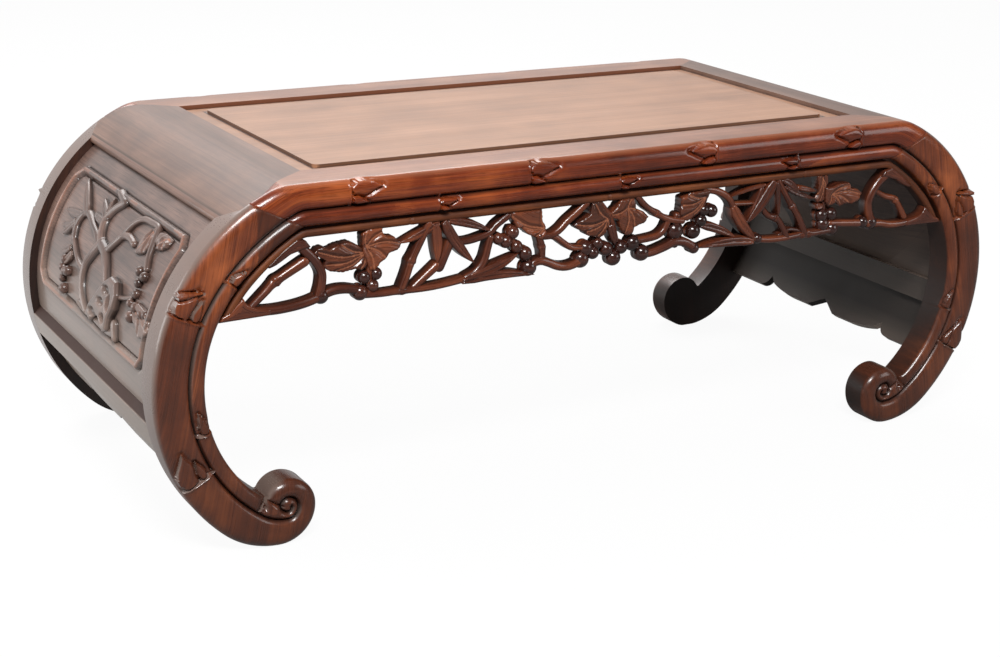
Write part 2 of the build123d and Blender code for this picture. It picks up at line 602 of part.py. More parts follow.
# The apron's drawing: where its corner and the rail's underside were, and how far it hung down.
APRON_DRAWN_AT = (364.0, 333.0, 88.0)
APRON_STEMS = [
    # left end
    (10, (-378, 316), (-361, 301), (-352, 289), (-350, 277), (-353, 260)),
    (9, (-422, 257), (-396, 276), (-380, 285), (-362, 294)),
    (9, (-436, 254), (-400, 250), (-380, 252), (-348, 256)),
    (8, (-352, 257), (-320, 261), (-304, 260)),
    (6, (-297, 283), (-297, 266), (-296, 254)),
    (7, (-308, 254), (-285, 252), (-225, 252), (-205, 253), (-184, 256)),
    (8, (-261, 254), (-249, 280), (-229, 322)),
    (10, (-243, 253), (-216, 272), (-207, 274)),
    (10, (-213, 272), (-207, 285), (-202, 305)),
    (7, (-202, 298), (-165, 298), (-155, 302), (-147, 310), (-132, 318)),
    (10, (-161, 298), (-162, 283), (-167, 272), (-186, 256)),
    (6, (-133, 300), (-125, 282), (-113, 274), (-107, 256)),
    (9, (-110, 257), (-98, 262), (-88, 262), (-76, 256), (-66, 255), (-46, 258)),
    (7, (-96, 293), (-94, 280), (-92, 262)),
    (8, (-98, 290), (-82, 291), (-72, 296), (-40, 322)),
    (8, (-98, 289), (-80, 286), (-66, 277), (-42, 272)),
    # middle
    (5, (-23, 322), (-12, 305), (-9, 290), (-3, 270)),
    (6, (-44, 262), (-26, 276), (-13, 267), (-4, 258), (4, 267), (20, 270), (33, 256)),
    # right end
    (7, (22, 322), (33, 309), (43, 302), (63, 292), (80, 289)),
    (7, (66, 292), (60, 280), (52, 275), (22, 273)),
    (12, (78, 293), (76, 260)),
    (9, (34, 256), (52, 256), (65, 258), (76, 263), (86, 263), (104, 252)),
    (6, (107, 302), (114, 297), (108, 285), (101, 272)),
    (8, (112, 319), (131, 316), (139, 312), (147, 303), (152, 292)),
    (5, (148, 299), (184, 297)),
    (8, (187, 297), (200, 281), (212, 275), (220, 268), (230, 253)),
    (8, (215, 318), (234, 291), (254, 254)),
    (7, (180, 256), (197, 253), (240, 252), (284, 254)),
    (6, (282, 290), (282, 262), (296, 254)),
    (6, (280, 266), (294, 273)),
    (8, (294, 261), (320, 259), (356, 256)),
    (11, (376, 316), (358, 303), (349, 290), (346, 276), (354, 258)),
    (8, (355, 295), (386, 280), (406, 256)),
    (8, (350, 255), (376, 252), (436, 253)),
]
APRON_LEAVES = [
    (9, (-214, 324), (-268, 302)),
    (11, (-224, 322), (-221, 274)),
    (13, (-214, 324), (-175, 270)),
    (9, (-211, 325), (-160, 303)),
    (14, (-176, 257), (-122, 277)),
    (12, (-190, 254), (-102, 250)),
    (8, (-17, 290), (-2, 269)),
    (16, (147, 298), (186, 253)),
    (6, (194, 320), (145, 307)),
    (15, (207, 324), (164, 274)),
    (8, (211, 322), (213, 274)),
    (8, (214, 323), (244, 303)),
    (7, (219, 314), (270, 292)),
    (7, (239, 309), (270, 303)),
    (11, (188, 253), (99, 253)),
    (11, (102, 282), (160, 260)),
]
APRON_VINE_LEAVES = [
    [
        (-357, 304), (-350, 310), (-341, 307), (-320, 310), (-307, 304), (-299, 290), (-301, 283),
        (-306, 280), (-315, 283), (-326, 281), (-337, 283), (-347, 288), (-343, 297),
    ],
    [
        (-302, 305), (-297, 322), (-280, 322), (-279, 312), (-269, 309), (-261, 302), (-266, 296),
        (-275, 294), (-277, 289), (-286, 288), (-292, 278), (-297, 279), (-300, 290),
    ],
    [(-138, 322), (-97, 322), (-93, 300), (-94, 291), (-98, 289), (-114, 295), (-128, 308)],
    [
        (-34, 322), (-26, 322), (-14, 305), (-11, 298), (-14, 291), (-25, 281), (-30, 285), (-38, 287),
        (-49, 295), (-50, 300), (-46, 306), (-33, 310),
    ],
    [
        (-9, 306), (0, 322), (20, 322), (17, 313), (20, 307), (29, 305), (37, 299), (32, 292),
        (19, 287), (13, 281), (7, 284), (-1, 299),
    ],
    [(84, 310), (89, 315), (104, 322), (118, 322), (110, 300), (102, 294), (95, 289), (80, 289), (79, 302)],
    [(267, 322), (282, 322), (282, 300), (280, 288), (271, 289), (267, 295), (270, 301), (266, 308)],
    [
        (280, 309), (298, 312), (322, 307), (331, 302), (344, 292), (329, 286), (318, 283), (309, 285),
        (303, 283), (296, 286), (286, 280), (280, 284),
    ],
]
APRON_BERRIES = [
    (7, (-349, 256)), (7, (-303, 272)), (7, (-289, 275)), (7, (-293, 260)), (7, (-306, 256)),
    (7, (-139, 290)), (8, (-131, 298)), (7, (-126, 282)), (8, (-114, 275)), (8, (-108, 258)),
    (7, (-26, 276)), (6, (-31, 265)), (8, (-44, 259)), (7, (-40, 270)),
    (8, (-13, 267)), (8, (-4, 256)), (7, (4, 267)), (8, (20, 270)), (8, (33, 256)),
    (7, (120, 295)), (7, (109, 285)), (8, (101, 273)),
    (7, (279, 273)), (6, (294, 273)), (8, (282, 262)), (8, (296, 255)),
]
APRON_ROOT = [(366, 320), (360, 306), (377, 299), (392, 303), (406, 297), (398, 312)]
APRON_TOE = [(462, 245), (400, 245), (404, 254), (420, 256), (431, 265), (424, 275), (414, 286), (475, 285)]


def apron():
    """Front apron: a bamboo strip along its edge, with fretwork of vine, leaves and berries."""
    edge, edge_end = inner_line(75, APRON_GAP)
    inner, inner_end = inner_line(75, APRON_GAP + APRON_STRIP)
    level = RAIL_UNDER - APRON_GAP
    strip = make_face(edge + inner + [Line(edge_end, inner_end), Line((0, level), (0, level - APRON_STRIP))])
    floor = RAIL_UNDER - APRON_DROP
    bounds = [Line(edge_end, (0, edge_end[1])), Line((0, edge_end[1]), (0, level))]
    inside = make_face(edge + bounds) & Pos(FAR / 2, floor + FAR / 2) * Rectangle(FAR, FAR)
    for outline in (APRON_ROOT, APRON_TOE):
        strip += make_face(Polyline(*[place(*point) for point in outline], close=True))
    fret = strip + mirror(strip, about=Plane.YZ)
    for width, *points in APRON_STEMS:
        fret += ribbon(width, *[place(*point) for point in points])
    for width, base, tip in APRON_LEAVES:
        fret += leaf(width, place(*base), place(*tip))
    for outline in APRON_VINE_LEAVES:
        fret += make_face(Polyline(*[place(*point) for point in outline], close=True))
    for radius, middle in APRON_BERRIES:
        fret += berry(radius, place(*middle))
    fret &= inside + mirror(inside, about=Plane.YZ)
    body = elevation(fret, APRON_FRONT, APRON_BACK)
    for tongue in apron_tongue():
        body += tongue
    return body


# ---- the assembly -----------------------------------------------------------------------
front_rail = long_rail()
right_leg = leg()
right_board = shoulder_board()
right_panel = side_panel()
right_lower_rail = lower_rail()
right_skirt = skirt()
apron_at_front = apron()
batten = top_batten()
right_peg = corner_peg()
front_pegs = [right_peg, to_left(right_peg)]

nodes = {
    "front_rail": front_rail,
    "rear_rail": to_rear(front_rail),
    "left_shoulder_board": to_left(right_board),
    "right_shoulder_board": right_board,
    "top_panel": top_panel(),
    "front_left_leg": to_left(right_leg),
    "front_right_leg": right_leg,
    "rear_left_leg": to_rear(to_left(right_leg)),
    "rear_right_leg": to_rear(right_leg),
    "left_side_panel": to_left(right_panel),
    "right_side_panel": right_panel,
    "left_lower_rail": to_left(right_lower_rail),
    "right_lower_rail": right_lower_rail,
    "left_skirt": to_left(right_skirt),
    "right_skirt": right_skirt,
    "front_apron": apron_at_front,
    "rear_apron": to_rear(apron_at_front),
    "corner_pegs": Compound(front_pegs + [to_rear(peg) for peg in front_pegs]),
}
for name, x in BATTEN_PLACES.items():
    nodes[name] = Pos(x, 0, 0) * batten

os.makedirs("parts", exist_ok=True)
for name, solid in nodes.items():
    export_step(solid, f"parts/{name}.step")
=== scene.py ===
# %% [markdown]
# A kang table is a low table that stands on a heated brick bed or on the floor. This one is made of
# dark, oiled rosewood. Its two long rails and four scroll legs are carved as a pair of bamboo stems,
# a thick one outside and a thin one inside, and they meet at mitres. Between the legs hangs an
# openwork apron of vine, leaves and grapes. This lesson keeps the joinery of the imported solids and
# gives every piece that the carver touched a finely cut surface.

# %% Load the frame
import math
import bpy
import numpy as np
from mathutils import Matrix, Vector
from mathutils.geometry import delaunay_2d_cdt


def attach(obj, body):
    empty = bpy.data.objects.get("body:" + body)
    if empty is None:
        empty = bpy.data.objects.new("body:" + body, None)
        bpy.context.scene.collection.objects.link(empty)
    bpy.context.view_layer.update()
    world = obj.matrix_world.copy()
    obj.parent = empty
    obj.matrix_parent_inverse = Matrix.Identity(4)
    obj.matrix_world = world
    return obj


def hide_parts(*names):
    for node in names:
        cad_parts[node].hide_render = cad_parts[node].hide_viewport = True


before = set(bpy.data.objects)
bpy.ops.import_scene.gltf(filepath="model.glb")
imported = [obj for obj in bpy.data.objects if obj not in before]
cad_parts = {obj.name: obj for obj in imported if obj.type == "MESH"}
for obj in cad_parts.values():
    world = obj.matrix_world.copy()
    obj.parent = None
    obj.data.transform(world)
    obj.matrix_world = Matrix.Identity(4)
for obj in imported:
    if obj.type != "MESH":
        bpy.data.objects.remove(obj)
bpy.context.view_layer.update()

print("nodes:", len(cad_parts))

# %% [markdown]
# The carver works from a full-size drawing in millimetres, and so does this lesson. X runs along the
# table, the front faces -Y and Z is up. Only when a mesh is made do the numbers become metres.

# %% Sizes of the table
MM = 0.001
HEIGHT, DEPTH = 376.0, 470.0
FRONT = -DEPTH / 2
FLAT_HALF = 378.0
SHOULDER_RADIUS, SHOULDER_TURN = 64.0, 24.0
FOOT_RADIUS, BOW_TURN, FOOT_FLAT = 90.0, 138.0, 0.6
RAIL_HEIGHT, RAIL_WIDTH = 43.0, 60.0
LEG_THICKNESS, LEG_WIDTH, THIN_STEM = 38.0, 53.0, 16.5
RECESS_HALF_X, RECESS_HALF_Y = 350.0, DEPTH / 2 - RAIL_WIDTH
RAIL_UNDER = HEIGHT - RAIL_HEIGHT
BOARD_THICKNESS, NOSE_RADIUS = 17.0, 4.0
APRON_BACK = -23.0


def slope_cos(turn):
    return math.cos(math.radians(turn))


def slope_sin(turn):
    return math.sin(math.radians(turn))


shoulder_fall = SHOULDER_RADIUS * (1 - slope_cos(SHOULDER_TURN))
foot_fall = FOOT_RADIUS * (1 + slope_cos(BOW_TURN))
bow_drop = HEIGHT + FOOT_FLAT - shoulder_fall - foot_fall
BOW_RADIUS = bow_drop / (slope_cos(SHOULDER_TURN) - slope_cos(BOW_TURN))
BOW_X = FLAT_HALF + (SHOULDER_RADIUS - BOW_RADIUS) * slope_sin(SHOULDER_TURN)
BOW_Z = HEIGHT - SHOULDER_RADIUS + (SHOULDER_RADIUS - BOW_RADIUS) * slope_cos(SHOULDER_TURN)
INNER_RADIUS = BOW_RADIUS - LEG_WIDTH
SPLIT_RADIUS = INNER_RADIUS + THIN_STEM
print("bow radius", round(BOW_RADIUS, 2), "centre", round(BOW_X, 2), round(BOW_Z, 2))

# %% [markdown]
# Every long line on the front is a chain of arcs, each tangent to the last, as a joiner would strike
# them with a trammel. One function walks such a chain and returns closely spaced points. The same
# three lines bound everything: the outside of the thick stem, the groove between the stems, and the
# inside of the thin stem.

# %% Lines of the front
def trammel(start, turn, steps, spacing=1.6):
    """Points along clockwise arcs. Each step is (radius, turn at its end)."""
    x, z = start
    points = [(x, z)]
    for radius, end in steps:
        centre = np.array([x - radius * slope_sin(turn), z - radius * slope_cos(turn)])
        count = max(3, int(math.radians(abs(end - turn)) * radius / spacing))
        for angle in np.linspace(turn, end, count + 1)[1:]:
            points.append(tuple(centre + radius * np.array([slope_sin(angle), slope_cos(angle)])))
        x, z = points[-1]
        turn = end
    return np.array(points)


def run_in(level, start, spacing=1.6):
    """Level points from the middle of the table to where a line starts to bend."""
    count = int(start / spacing)
    return np.array([(start * k / count, level) for k in range(count)])


def eased(level, radius, ease, turns):
    """Where a level line starts to bend into an arc about the bow's centre, and its first radius."""
    first, second = turns
    rest = ease * slope_cos(first) - (ease - radius) * slope_cos(second)
    tight = (level - BOW_Z - rest) / (1 - slope_cos(first))
    start = BOW_X - (tight - ease) * slope_sin(first) - (ease - radius) * slope_sin(second)
    return start, tight


def inner_line(end_turn, inset=0.0):
    turns, ease = (30.0, 45.0), INNER_RADIUS + 93.0 - inset
    level, radius = RAIL_UNDER - inset, INNER_RADIUS - inset
    start, tight = eased(level, radius, ease, turns)
    bend = trammel((start, level), 0, [(tight, turns[0]), (ease, turns[1]), (radius, end_turn)])
    return np.vstack([run_in(level, start), bend])


def groove_line():
    """Line between the two stems, which ends in the scroll's spiral."""
    turns, ease, level = (26.0, 50.0), SPLIT_RADIUS + 46.5, RAIL_UNDER + THIN_STEM
    start, tight = eased(level, SPLIT_RADIUS, ease, turns)
    spiral = [(46.0, 180), (12.2, 270), (11.5, 360), (8.0, 450), (7.5, 540), (4.5, 640)]
    bow = [(tight, turns[0]), (ease, turns[1]), (SPLIT_RADIUS, 145.0)]
    return np.vstack([run_in(level, start), trammel((start, level), 0, bow + spiral, 1.0)])


def outer_line():
    scroll = [(40.0, 270), (31.0, 360), (26.0, 450)]
    bend = [(SHOULDER_RADIUS, SHOULDER_TURN), (BOW_RADIUS, BOW_TURN), (FOOT_RADIUS, 180)]
    return np.vstack([run_in(HEIGHT, FLAT_HALF), trammel((FLAT_HALF, HEIGHT), 0, bend + scroll)])


OUTER, GROOVE, INNER = outer_line(), groove_line(), inner_line(150.0)
print("points on the three lines:", len(OUTER), len(GROOVE), len(INNER))

# %% [markdown]
# Carving in relief is a height over a drawing: at each place on the board, the wood is cut back by an
# amount that depends on how near the edge or a groove is. Sculpting by hand would do it too, but a
# height that is worked out from distances gives the crisp, even edges of a gouge, and the four legs
# come out the same.

# %% Distance from the lines
def reach(points, line):
    """Distance of each point from a line, and how far along the line its nearest place lies."""
    start, run = line[:-1], np.diff(line, axis=0)
    length = np.maximum(np.hypot(*run.T), 1e-9)
    walked = np.concatenate([[0], np.cumsum(length)[:-1]])
    distance, along = np.empty(len(points)), np.empty(len(points))
    for first in range(0, len(points), 1500):
        offset = points[first:first + 1500, None] - start
        share = np.clip((offset * run).sum(2) / length ** 2, 0, 1)
        gap = np.hypot(*np.moveaxis(offset - share[..., None] * run, 2, 0))
        nearest = gap.argmin(1)
        row = np.arange(len(nearest))
        distance[first:first + 1500] = gap[row, nearest]
        along[first:first + 1500] = walked[nearest] + share[row, nearest] * length[nearest]
    return distance, along


def closed(outline):
    return np.vstack([outline, outline[:1]])


def inside(points, outline):
    """Even-odd test of points against a closed outline."""
    hit = np.zeros(len(points), bool)
    for (x0, z0), (x1, z1) in zip(outline, np.roll(outline, -1, axis=0)):
        if z0 == z1:
            continue
        crosses = (points[:, 1] > min(z0, z1)) & (points[:, 1] <= max(z0, z1))
        side = x0 + (points[:, 1] - z0) * (x1 - x0) / (z1 - z0)
        hit ^= crosses & (points[:, 0] < side)
    return hit


def fall(distance, width, depth):
    """How far a rounded edge has dropped at a distance from it."""
    share = np.clip(1 - distance / width, 0, 1)
    return depth * (1 - np.sqrt(1 - share ** 2))


def even(outline, spacing):
    """The same closed outline with points at an even spacing."""
    ring = closed(outline)
    step = np.hypot(*np.diff(ring, axis=0).T)
    walked = np.concatenate([[0], np.cumsum(step)])
    count = max(8, int(walked[-1] / spacing))
    places = np.linspace(0, walked[-1], count, endpoint=False)
    return np.stack([np.interp(places, walked, ring[:, k]) for k in (0, 1)], 1)


print("edge 2 mm in, on a 6 mm round:", round(float(fall(np.array([2.0]), 6, 6)[0]), 2), "mm down")

# %% [markdown]
# A relief is then a mesh: points on the outline, a few rows just inside it where the edge turns
# over, an even grid elsewhere, all joined by Delaunay triangles. A wall goes back from the outline
# and a flat back closes it, so each relief is a sealed solid like the carved wood.

# %% Build a relief
def triangles(points, count):
    """Delaunay triangles of the points inside the outline that the first count of them make."""
    loop = [(k, (k + 1) % count) for k in range(count)]
    made = delaunay_2d_cdt([Vector(p) for p in points], loop, [], 1, 1e-4)
    flat, faces = np.array([tuple(v) for v in made[0]]), np.array([list(face) for face in made[2]])
    kept = inside(flat[faces].mean(1), points[:count])
    return flat, faces[kept].tolist()


def lattice(low, high, grid):
    """Evenly spaced points, every other row shifted by half a step."""
    across, up = np.meshgrid(np.arange(low[0], high[0], grid), np.arange(low[1], high[1], grid * 0.9))
    across[1::2] += grid / 2
    return np.stack([across.ravel(), up.ravel()], 1)


def beside(line, gap):
    """A line's points moved sideways."""
    way = np.gradient(line, axis=0)
    way /= np.maximum(np.hypot(*way.T), 1e-9)[:, None]
    return line + np.column_stack([-way[:, 1], way[:, 0]]) * gap


CREASE_ROWS, CREASE_BAND = (-2.4, -1.0, 0.0, 1.0, 2.4), 3.1


def relief(outline, height, back, grid=1.6, rows=(0.25, 0.9, 2.0, 3.6), fine=(), creases=()):
    """Vertices (across, up, height) and faces of a carved solid. height(points, edge) is its face,
    where edge is the distance of each point from the outline. back is one height, or a function that
    gives one for each point of the outline. rows are the distances of the rows just inside the edge,
    fine lists the (place, radius) of details that need closer points, and creases the cut lines. The
    outline must not cross itself, or the solid isn't sealed."""
    area = np.cross(outline, np.roll(outline, -1, axis=0)).sum()
    outline = outline if area > 0 else outline[::-1]
    ring = closed(outline)
    tangent = np.roll(outline, -1, axis=0) - np.roll(outline, 1, axis=0)
    inward = np.stack([-tangent[:, 1], tangent[:, 0]], 1) / np.hypot(*tangent.T)[:, None]
    layers = [outline]
    for row in rows:
        offset = outline + inward * row
        keep = inside(offset, outline) & (reach(offset, ring)[0] > row * 0.93)
        layers.append(offset[keep])
    low, high = outline.min(0), outline.max(0)
    even_points = lattice(low, high, grid)
    for place, radius in fine:
        even_points = even_points[np.hypot(*(even_points - place).T) > radius]
        close = lattice(np.array(place) - radius, np.array(place) + radius, grid * 0.5)
        even_points = np.vstack([even_points, close[np.hypot(*(close - place).T) < radius]])
    for line in creases:
        even_points = even_points[reach(even_points, line)[0] > CREASE_BAND]
        even_points = np.vstack([even_points] + [beside(line, gap) for gap in CREASE_ROWS])
    even_points = even_points[inside(even_points, outline)]
    layers.append(even_points[reach(even_points, ring)[0] > rows[-1] + grid * 0.4])
    flat, faces = triangles(np.vstack(layers), len(outline))
    edge = reach(flat, ring)[0]
    count = len(outline)
    face_height = height(flat, edge)
    vertices = np.column_stack([flat, face_height])
    depth = back(outline) if callable(back) else np.full(count, float(back))
    low_ring = np.column_stack([outline, depth])
    start = len(vertices)
    vertices = np.vstack([vertices, low_ring])
    for k in range(count):
        n = (k + 1) % count
        faces.append([k, start + k, start + n, n])
    _, lid = triangles(outline, count)
    faces += [[start + k for k in reversed(face)] for face in lid]
    return vertices, faces


block = even(np.array([(0, 0), (40, 0), (40, 20), (0, 20)], float), 1.5)
trial = relief(block, lambda points, edge: -fall(edge, 5, 5), -10)
print("trial relief:", len(trial[0]), "vertices,", len(trial[1]), "faces")

# %% [markdown]
# The finish is one rosewood, seen in a few states: oiled and reddish on the front, painted paler
# where the top mirrors the room, painted near black inside where shade falls. The grain is stretched
# noise. On carved pieces it follows the stem, because each vertex knows how far along its stem it
# lies, and the cuts take painted shade, with painted highlights on edges and veins. Shader arithmetic
# reads best as plain Python, so a small class carries it.

# %% Arithmetic on shader sockets
class Term:
    """A value in a shader that takes Python's arithmetic."""

    def __init__(self, finish, socket):
        self.finish, self.socket = finish, socket

    def math(self, operation, *values):
        inputs = dict(enumerate((self,) + values))
        return self.finish.node("ShaderNodeMath", {"operation": operation}, inputs)

    def __add__(self, other):
        return self.math("ADD", other)

    def __mul__(self, other):
        return self.math("MULTIPLY", other)

    def __sub__(self, other):
        return self.math("SUBTRACT", other)

    def __pow__(self, other):
        return self.math("POWER", other)


class Finish:
    """A material whose nodes are added by one method."""

    def __init__(self, name):
        self.material = bpy.data.materials.new(name)
        self.material.use_nodes = True
        self.tree = self.material.node_tree
        self.tree.nodes.clear()

    def node(self, kind, settings=None, inputs=None, output=0):
        made = self.tree.nodes.new(kind)
        for key, value in (settings or {}).items():
            if key == "stops":
                set_stops(made.color_ramp, value)
            else:
                setattr(made, key, value)
        for key, value in (inputs or {}).items():
            if isinstance(value, Term):
                self.tree.links.new(value.socket, made.inputs[key])
            else:
                made.inputs[key].default_value = value
        return Term(self, made.outputs[output])

    def split(self, vector):
        parts = self.tree.nodes.new("ShaderNodeSeparateXYZ")
        self.tree.links.new(vector.socket, parts.inputs[0])
        return [Term(self, parts.outputs[axis]) for axis in range(3)]

    def object_place(self):
        """Where on the object a point lies, in metres."""
        return self.node("ShaderNodeTexCoord", output=3)

    def facing(self):
        """Which way the surface looks."""
        return self.split(self.node("ShaderNodeNewGeometry", output=1))

    def graded(self, value, start, end, first, last):
        """first up to start, last beyond end, and a slope between."""
        return self.node("ShaderNodeMapRange", None, {0: value, 1: start, 2: end, 3: first, 4: last})

    def surface(self, term):
        out = self.tree.nodes.new("ShaderNodeOutputMaterial")
        self.tree.links.new(term.socket, out.inputs["Surface"])
        return self.material


def set_stops(ramp, stops):
    while len(ramp.elements) < len(stops):
        ramp.elements.new(0.5)
    for element, (place, colour) in zip(ramp.elements, stops):
        element.position = place
        element.color = (*colour, 1)


# %% Rosewood
GRAIN_LONG, GRAIN_SHORT = 5.0, 60.0
INWARD_SHADE = (0.009, 0.007, 0.006)
PALE_TONE_AND_HIGHLIGHT = (0.38, 0.13, 0.06)
CREVICE_SHADE = (0.006, 0.0035, 0.003)


def noise(finish, where, stretch, detail=4.0, roughness=0.55):
    """Noise whose pattern is stretched along the grain."""
    moved = finish.node("ShaderNodeMapping", None, {"Vector": where, "Scale": stretch})
    inputs = {"Vector": moved, "Scale": 1.0, "Detail": detail, "Roughness": roughness}
    return finish.node("ShaderNodeTexNoise", None, inputs)


def mixed(finish, factor, wood, overlay_colour):
    inputs = {0: factor, 6: wood, 7: (*overlay_colour, 1)}
    return finish.node("ShaderNodeMix", {"data_type": "RGBA"}, inputs, 2)


def shade_facing_middle(finish, amount):
    """Painted shade: amount on faces that look at the table's middle, which lie in shade. rosewood
    also makes these faces less polished.
    """
    x, y, _ = finish.split(finish.object_place())
    across, deep, _ = finish.facing()
    inward = (across * x.math("SIGN") + deep * y.math("SIGN")) * -1
    return finish.graded(inward, 0.5, 0.9, 0.0, amount)


def rosewood(
    name, dark, middle, light, roughness=0.3, coat=0.35,
    carved=False, grain_axis=0, inward=0.0, marks=(), pores=0.5, dull=(),
):
    """Oiled rosewood. A carved one reads its grain from the mesh, and from its cut attribute the painted
    shade in its cuts and its painted highlights. inward says how much painted shade faces toward the
    table's middle get. marks are functions that give a mask and a colour for marked places, some of
    them painted shade or sheen, and those also in dull lose their polish."""
    finish = Finish(name)
    if carved:
        where = finish.node("ShaderNodeAttribute", {"attribute_name": "grain"}, output=1)
        cut = finish.node("ShaderNodeAttribute", {"attribute_name": "cut"}, output=2)
    else:
        where = finish.object_place()

    def stretched(along, across):
        axes = [GRAIN_SHORT * across] * 3
        axes[grain_axis] = GRAIN_LONG * along
        return axes

    band = noise(finish, where, stretched(0.45, 0.45), 3.0)
    streak = noise(finish, where, stretched(1.0, 4.5), 5.0, 0.6)
    pore = noise(finish, where, stretched(5.0, 22.0), 2.0)
    wear = noise(finish, where, [14.0, 14.0, 14.0], 4.0)
    tone = band * 0.62 + streak * 0.42 + wear * 0.62 - 0.325
    stops = [(0.24, dark), (0.5, middle), (0.78, light)]
    wood = finish.node("ShaderNodeValToRGB", {"stops": stops}, {"Fac": tone})
    wood = mixed(finish, finish.graded(pore, 0.36, 0.47, pores, 0.0), wood, [c * 0.35 for c in dark])
    rough = wear * 0.18 + pore * 0.1 + (roughness - 0.14)
    for mark in marks:
        share, overlay_colour = mark(finish)
        wood = mixed(finish, share, wood, overlay_colour)
        if mark in dull:
            rough = rough + share * 0.3
            coat = (share * -1 + 1) * coat
    if inward:
        # Faces toward the middle get painted shade, and less polish.
        inside_shade_and_matt = shade_facing_middle(finish, inward)
        wood = mixed(finish, inside_shade_and_matt, wood, INWARD_SHADE)
        rough = rough + inside_shade_and_matt * 0.25
        coat = (inside_shade_and_matt * -1 + 1) * coat
    if carved:
        # Painted shade in the cuts from the cut attribute, and a painted highlight where it is below
        # zero.
        painted_crevice_shade = finish.graded(cut + wear * 0.3 - 0.15, 0.15, 0.95, 0.0, 0.93)
        wood = mixed(finish, finish.graded(cut, -0.2, -1.0, 0.0, 0.8), wood, PALE_TONE_AND_HIGHLIGHT)
        wood = mixed(finish, painted_crevice_shade, wood, CREVICE_SHADE)
        rough = rough + painted_crevice_shade * 0.12
    grain_height = pore * 0.5 + streak * 0.6
    relief_of_grain = {"Strength": 0.12, "Distance": 0.0006, "Height": grain_height}
    bump = finish.node("ShaderNodeBump", None, relief_of_grain)
    shader = finish.node("ShaderNodeBsdfPrincipled", None, {
        "Base Color": wood, "Roughness": rough, "Normal": bump,
        "Coat Weight": coat, "Coat Roughness": 0.14, "Specular IOR Level": 0.42,
    })
    return finish.surface(shader)


# %% [markdown]
# Some places are marked with a colour. The feet are darker and greyer towards the bottom, and the
# ends are paler low down. The faces of the legs that look outward get a painted grey sheen, the room
# mirrored in them. The step around the raised field and the frame's wall get dark lines of painted
# shade, and the hollow of the lower rail a darker, duller band. Each mark gives a mask worked out from
# the place on the object, so it stays put on the wood, and the mark's colour.

# %% Marked places: painted shade and sheen, darker feet, paler ends
# Darker and greyer towards the bottom of the legs.
def darker_feet(finish):
    _, _, up = finish.split(finish.object_place())
    return finish.graded(up, 0.10, 0.30, 0.55, 0.0), (0.045, 0.022, 0.016)


def painted_outer_sheen(finish):
    """Painted sheen: the faces of the legs that look outward mirror the room and look grey."""
    x, _, _ = finish.split(finish.object_place())
    across, _, up = finish.facing()
    outward = across * x.math("SIGN") + up * 0.6
    return finish.graded(outward, 0.6, 0.95, 0.0, 0.93), (0.17, 0.12, 0.10)


def beyond_box(x, y, half_x, half_y):
    """Distance outside a rectangle about the middle, in metres."""
    return (x.math("ABSOLUTE") - half_x * MM).math("MAXIMUM", y.math("ABSOLUTE") - half_y * MM)


STEP_INSET_X, STEP_INSET_Y = 24.0, 21.5


def painted_step_shade(finish):
    """Painted shade: dark lines at the step up to the field and along the frame."""
    x, y, _ = finish.split(finish.object_place())
    step = beyond_box(x, y, RECESS_HALF_X - STEP_INSET_X, RECESS_HALF_Y - STEP_INSET_Y)
    wall = beyond_box(x, y, RECESS_HALF_X, RECESS_HALF_Y)
    near_step = finish.graded((step - 0.0012).math("ABSOLUTE"), 0.0008, 0.0022, 0.92, 0.0)
    near_wall = finish.graded(wall, -0.0050, -0.0020, 0.0, 0.93)
    return near_step.math("MAXIMUM", near_wall), (0.030, 0.009, 0.006)


HOLLOW_INSET = 5.4


def darker_hollow(finish):
    """Brown in the lower rail's bevel, between the panel and the rail's face."""
    x, _, z = finish.split(finish.object_place())
    out = x.math("ABSOLUTE") - BOW_X * MM
    up = z - BOW_Z * MM
    radius = (out * out + up * up) ** 0.5
    edge = (radius - (BOW_RADIUS - HOLLOW_INSET) * MM).math("ABSOLUTE")
    return finish.graded(edge, 0.0042, 0.0054, 0.96, 0.0), (0.030, 0.008, 0.004)


def paler_low(finish):
    """The ends are paler towards the bottom."""
    _, _, up = finish.split(finish.object_place())
    return finish.graded(up, 0.10, 0.25, 0.62, 0.0), (0.43, 0.345, 0.285)


EBONY = (0.012, 0.005, 0.004)
frame_wood = rosewood(
    "rosewood_frame", (0.024, 0.006, 0.004), (0.17, 0.027, 0.007), (0.46, 0.105, 0.022),
    roughness=0.27, coat=0.3, carved=True, inward=0.85,
)
leg_wood = rosewood(
    "rosewood_legs", (0.036, 0.011, 0.006), (0.160, 0.036, 0.012), (0.44, 0.115, 0.034),
    roughness=0.29, coat=0.3, carved=True, inward=0.85, marks=[darker_feet, painted_outer_sheen], pores=0.35,
)
apron_wood = rosewood(
    "rosewood_carving", EBONY, (0.085, 0.020, 0.009), (0.30, 0.075, 0.026), roughness=0.28, carved=True,
)
strip_wood = rosewood(
    "rosewood_strip", (0.03, 0.009, 0.004), (0.11, 0.026, 0.005), (0.28, 0.075, 0.014),
    roughness=0.58, coat=0.0, carved=True,
)
side_wood = rosewood(
    "rosewood_sides", (0.045, 0.026, 0.020), (0.13, 0.078, 0.062), (0.26, 0.155, 0.12),
    roughness=0.36, carved=True, inward=0.5, marks=[paler_low],
)
# Painted reflection: the top is paler where it mirrors the room.
top_wood = rosewood(
    "rosewood_top_painted_reflection", (0.25, 0.120, 0.064), (0.36, 0.178, 0.098), (0.46, 0.24, 0.14),
    roughness=0.42, coat=0.2, marks=[painted_step_shade], pores=0.22,
)
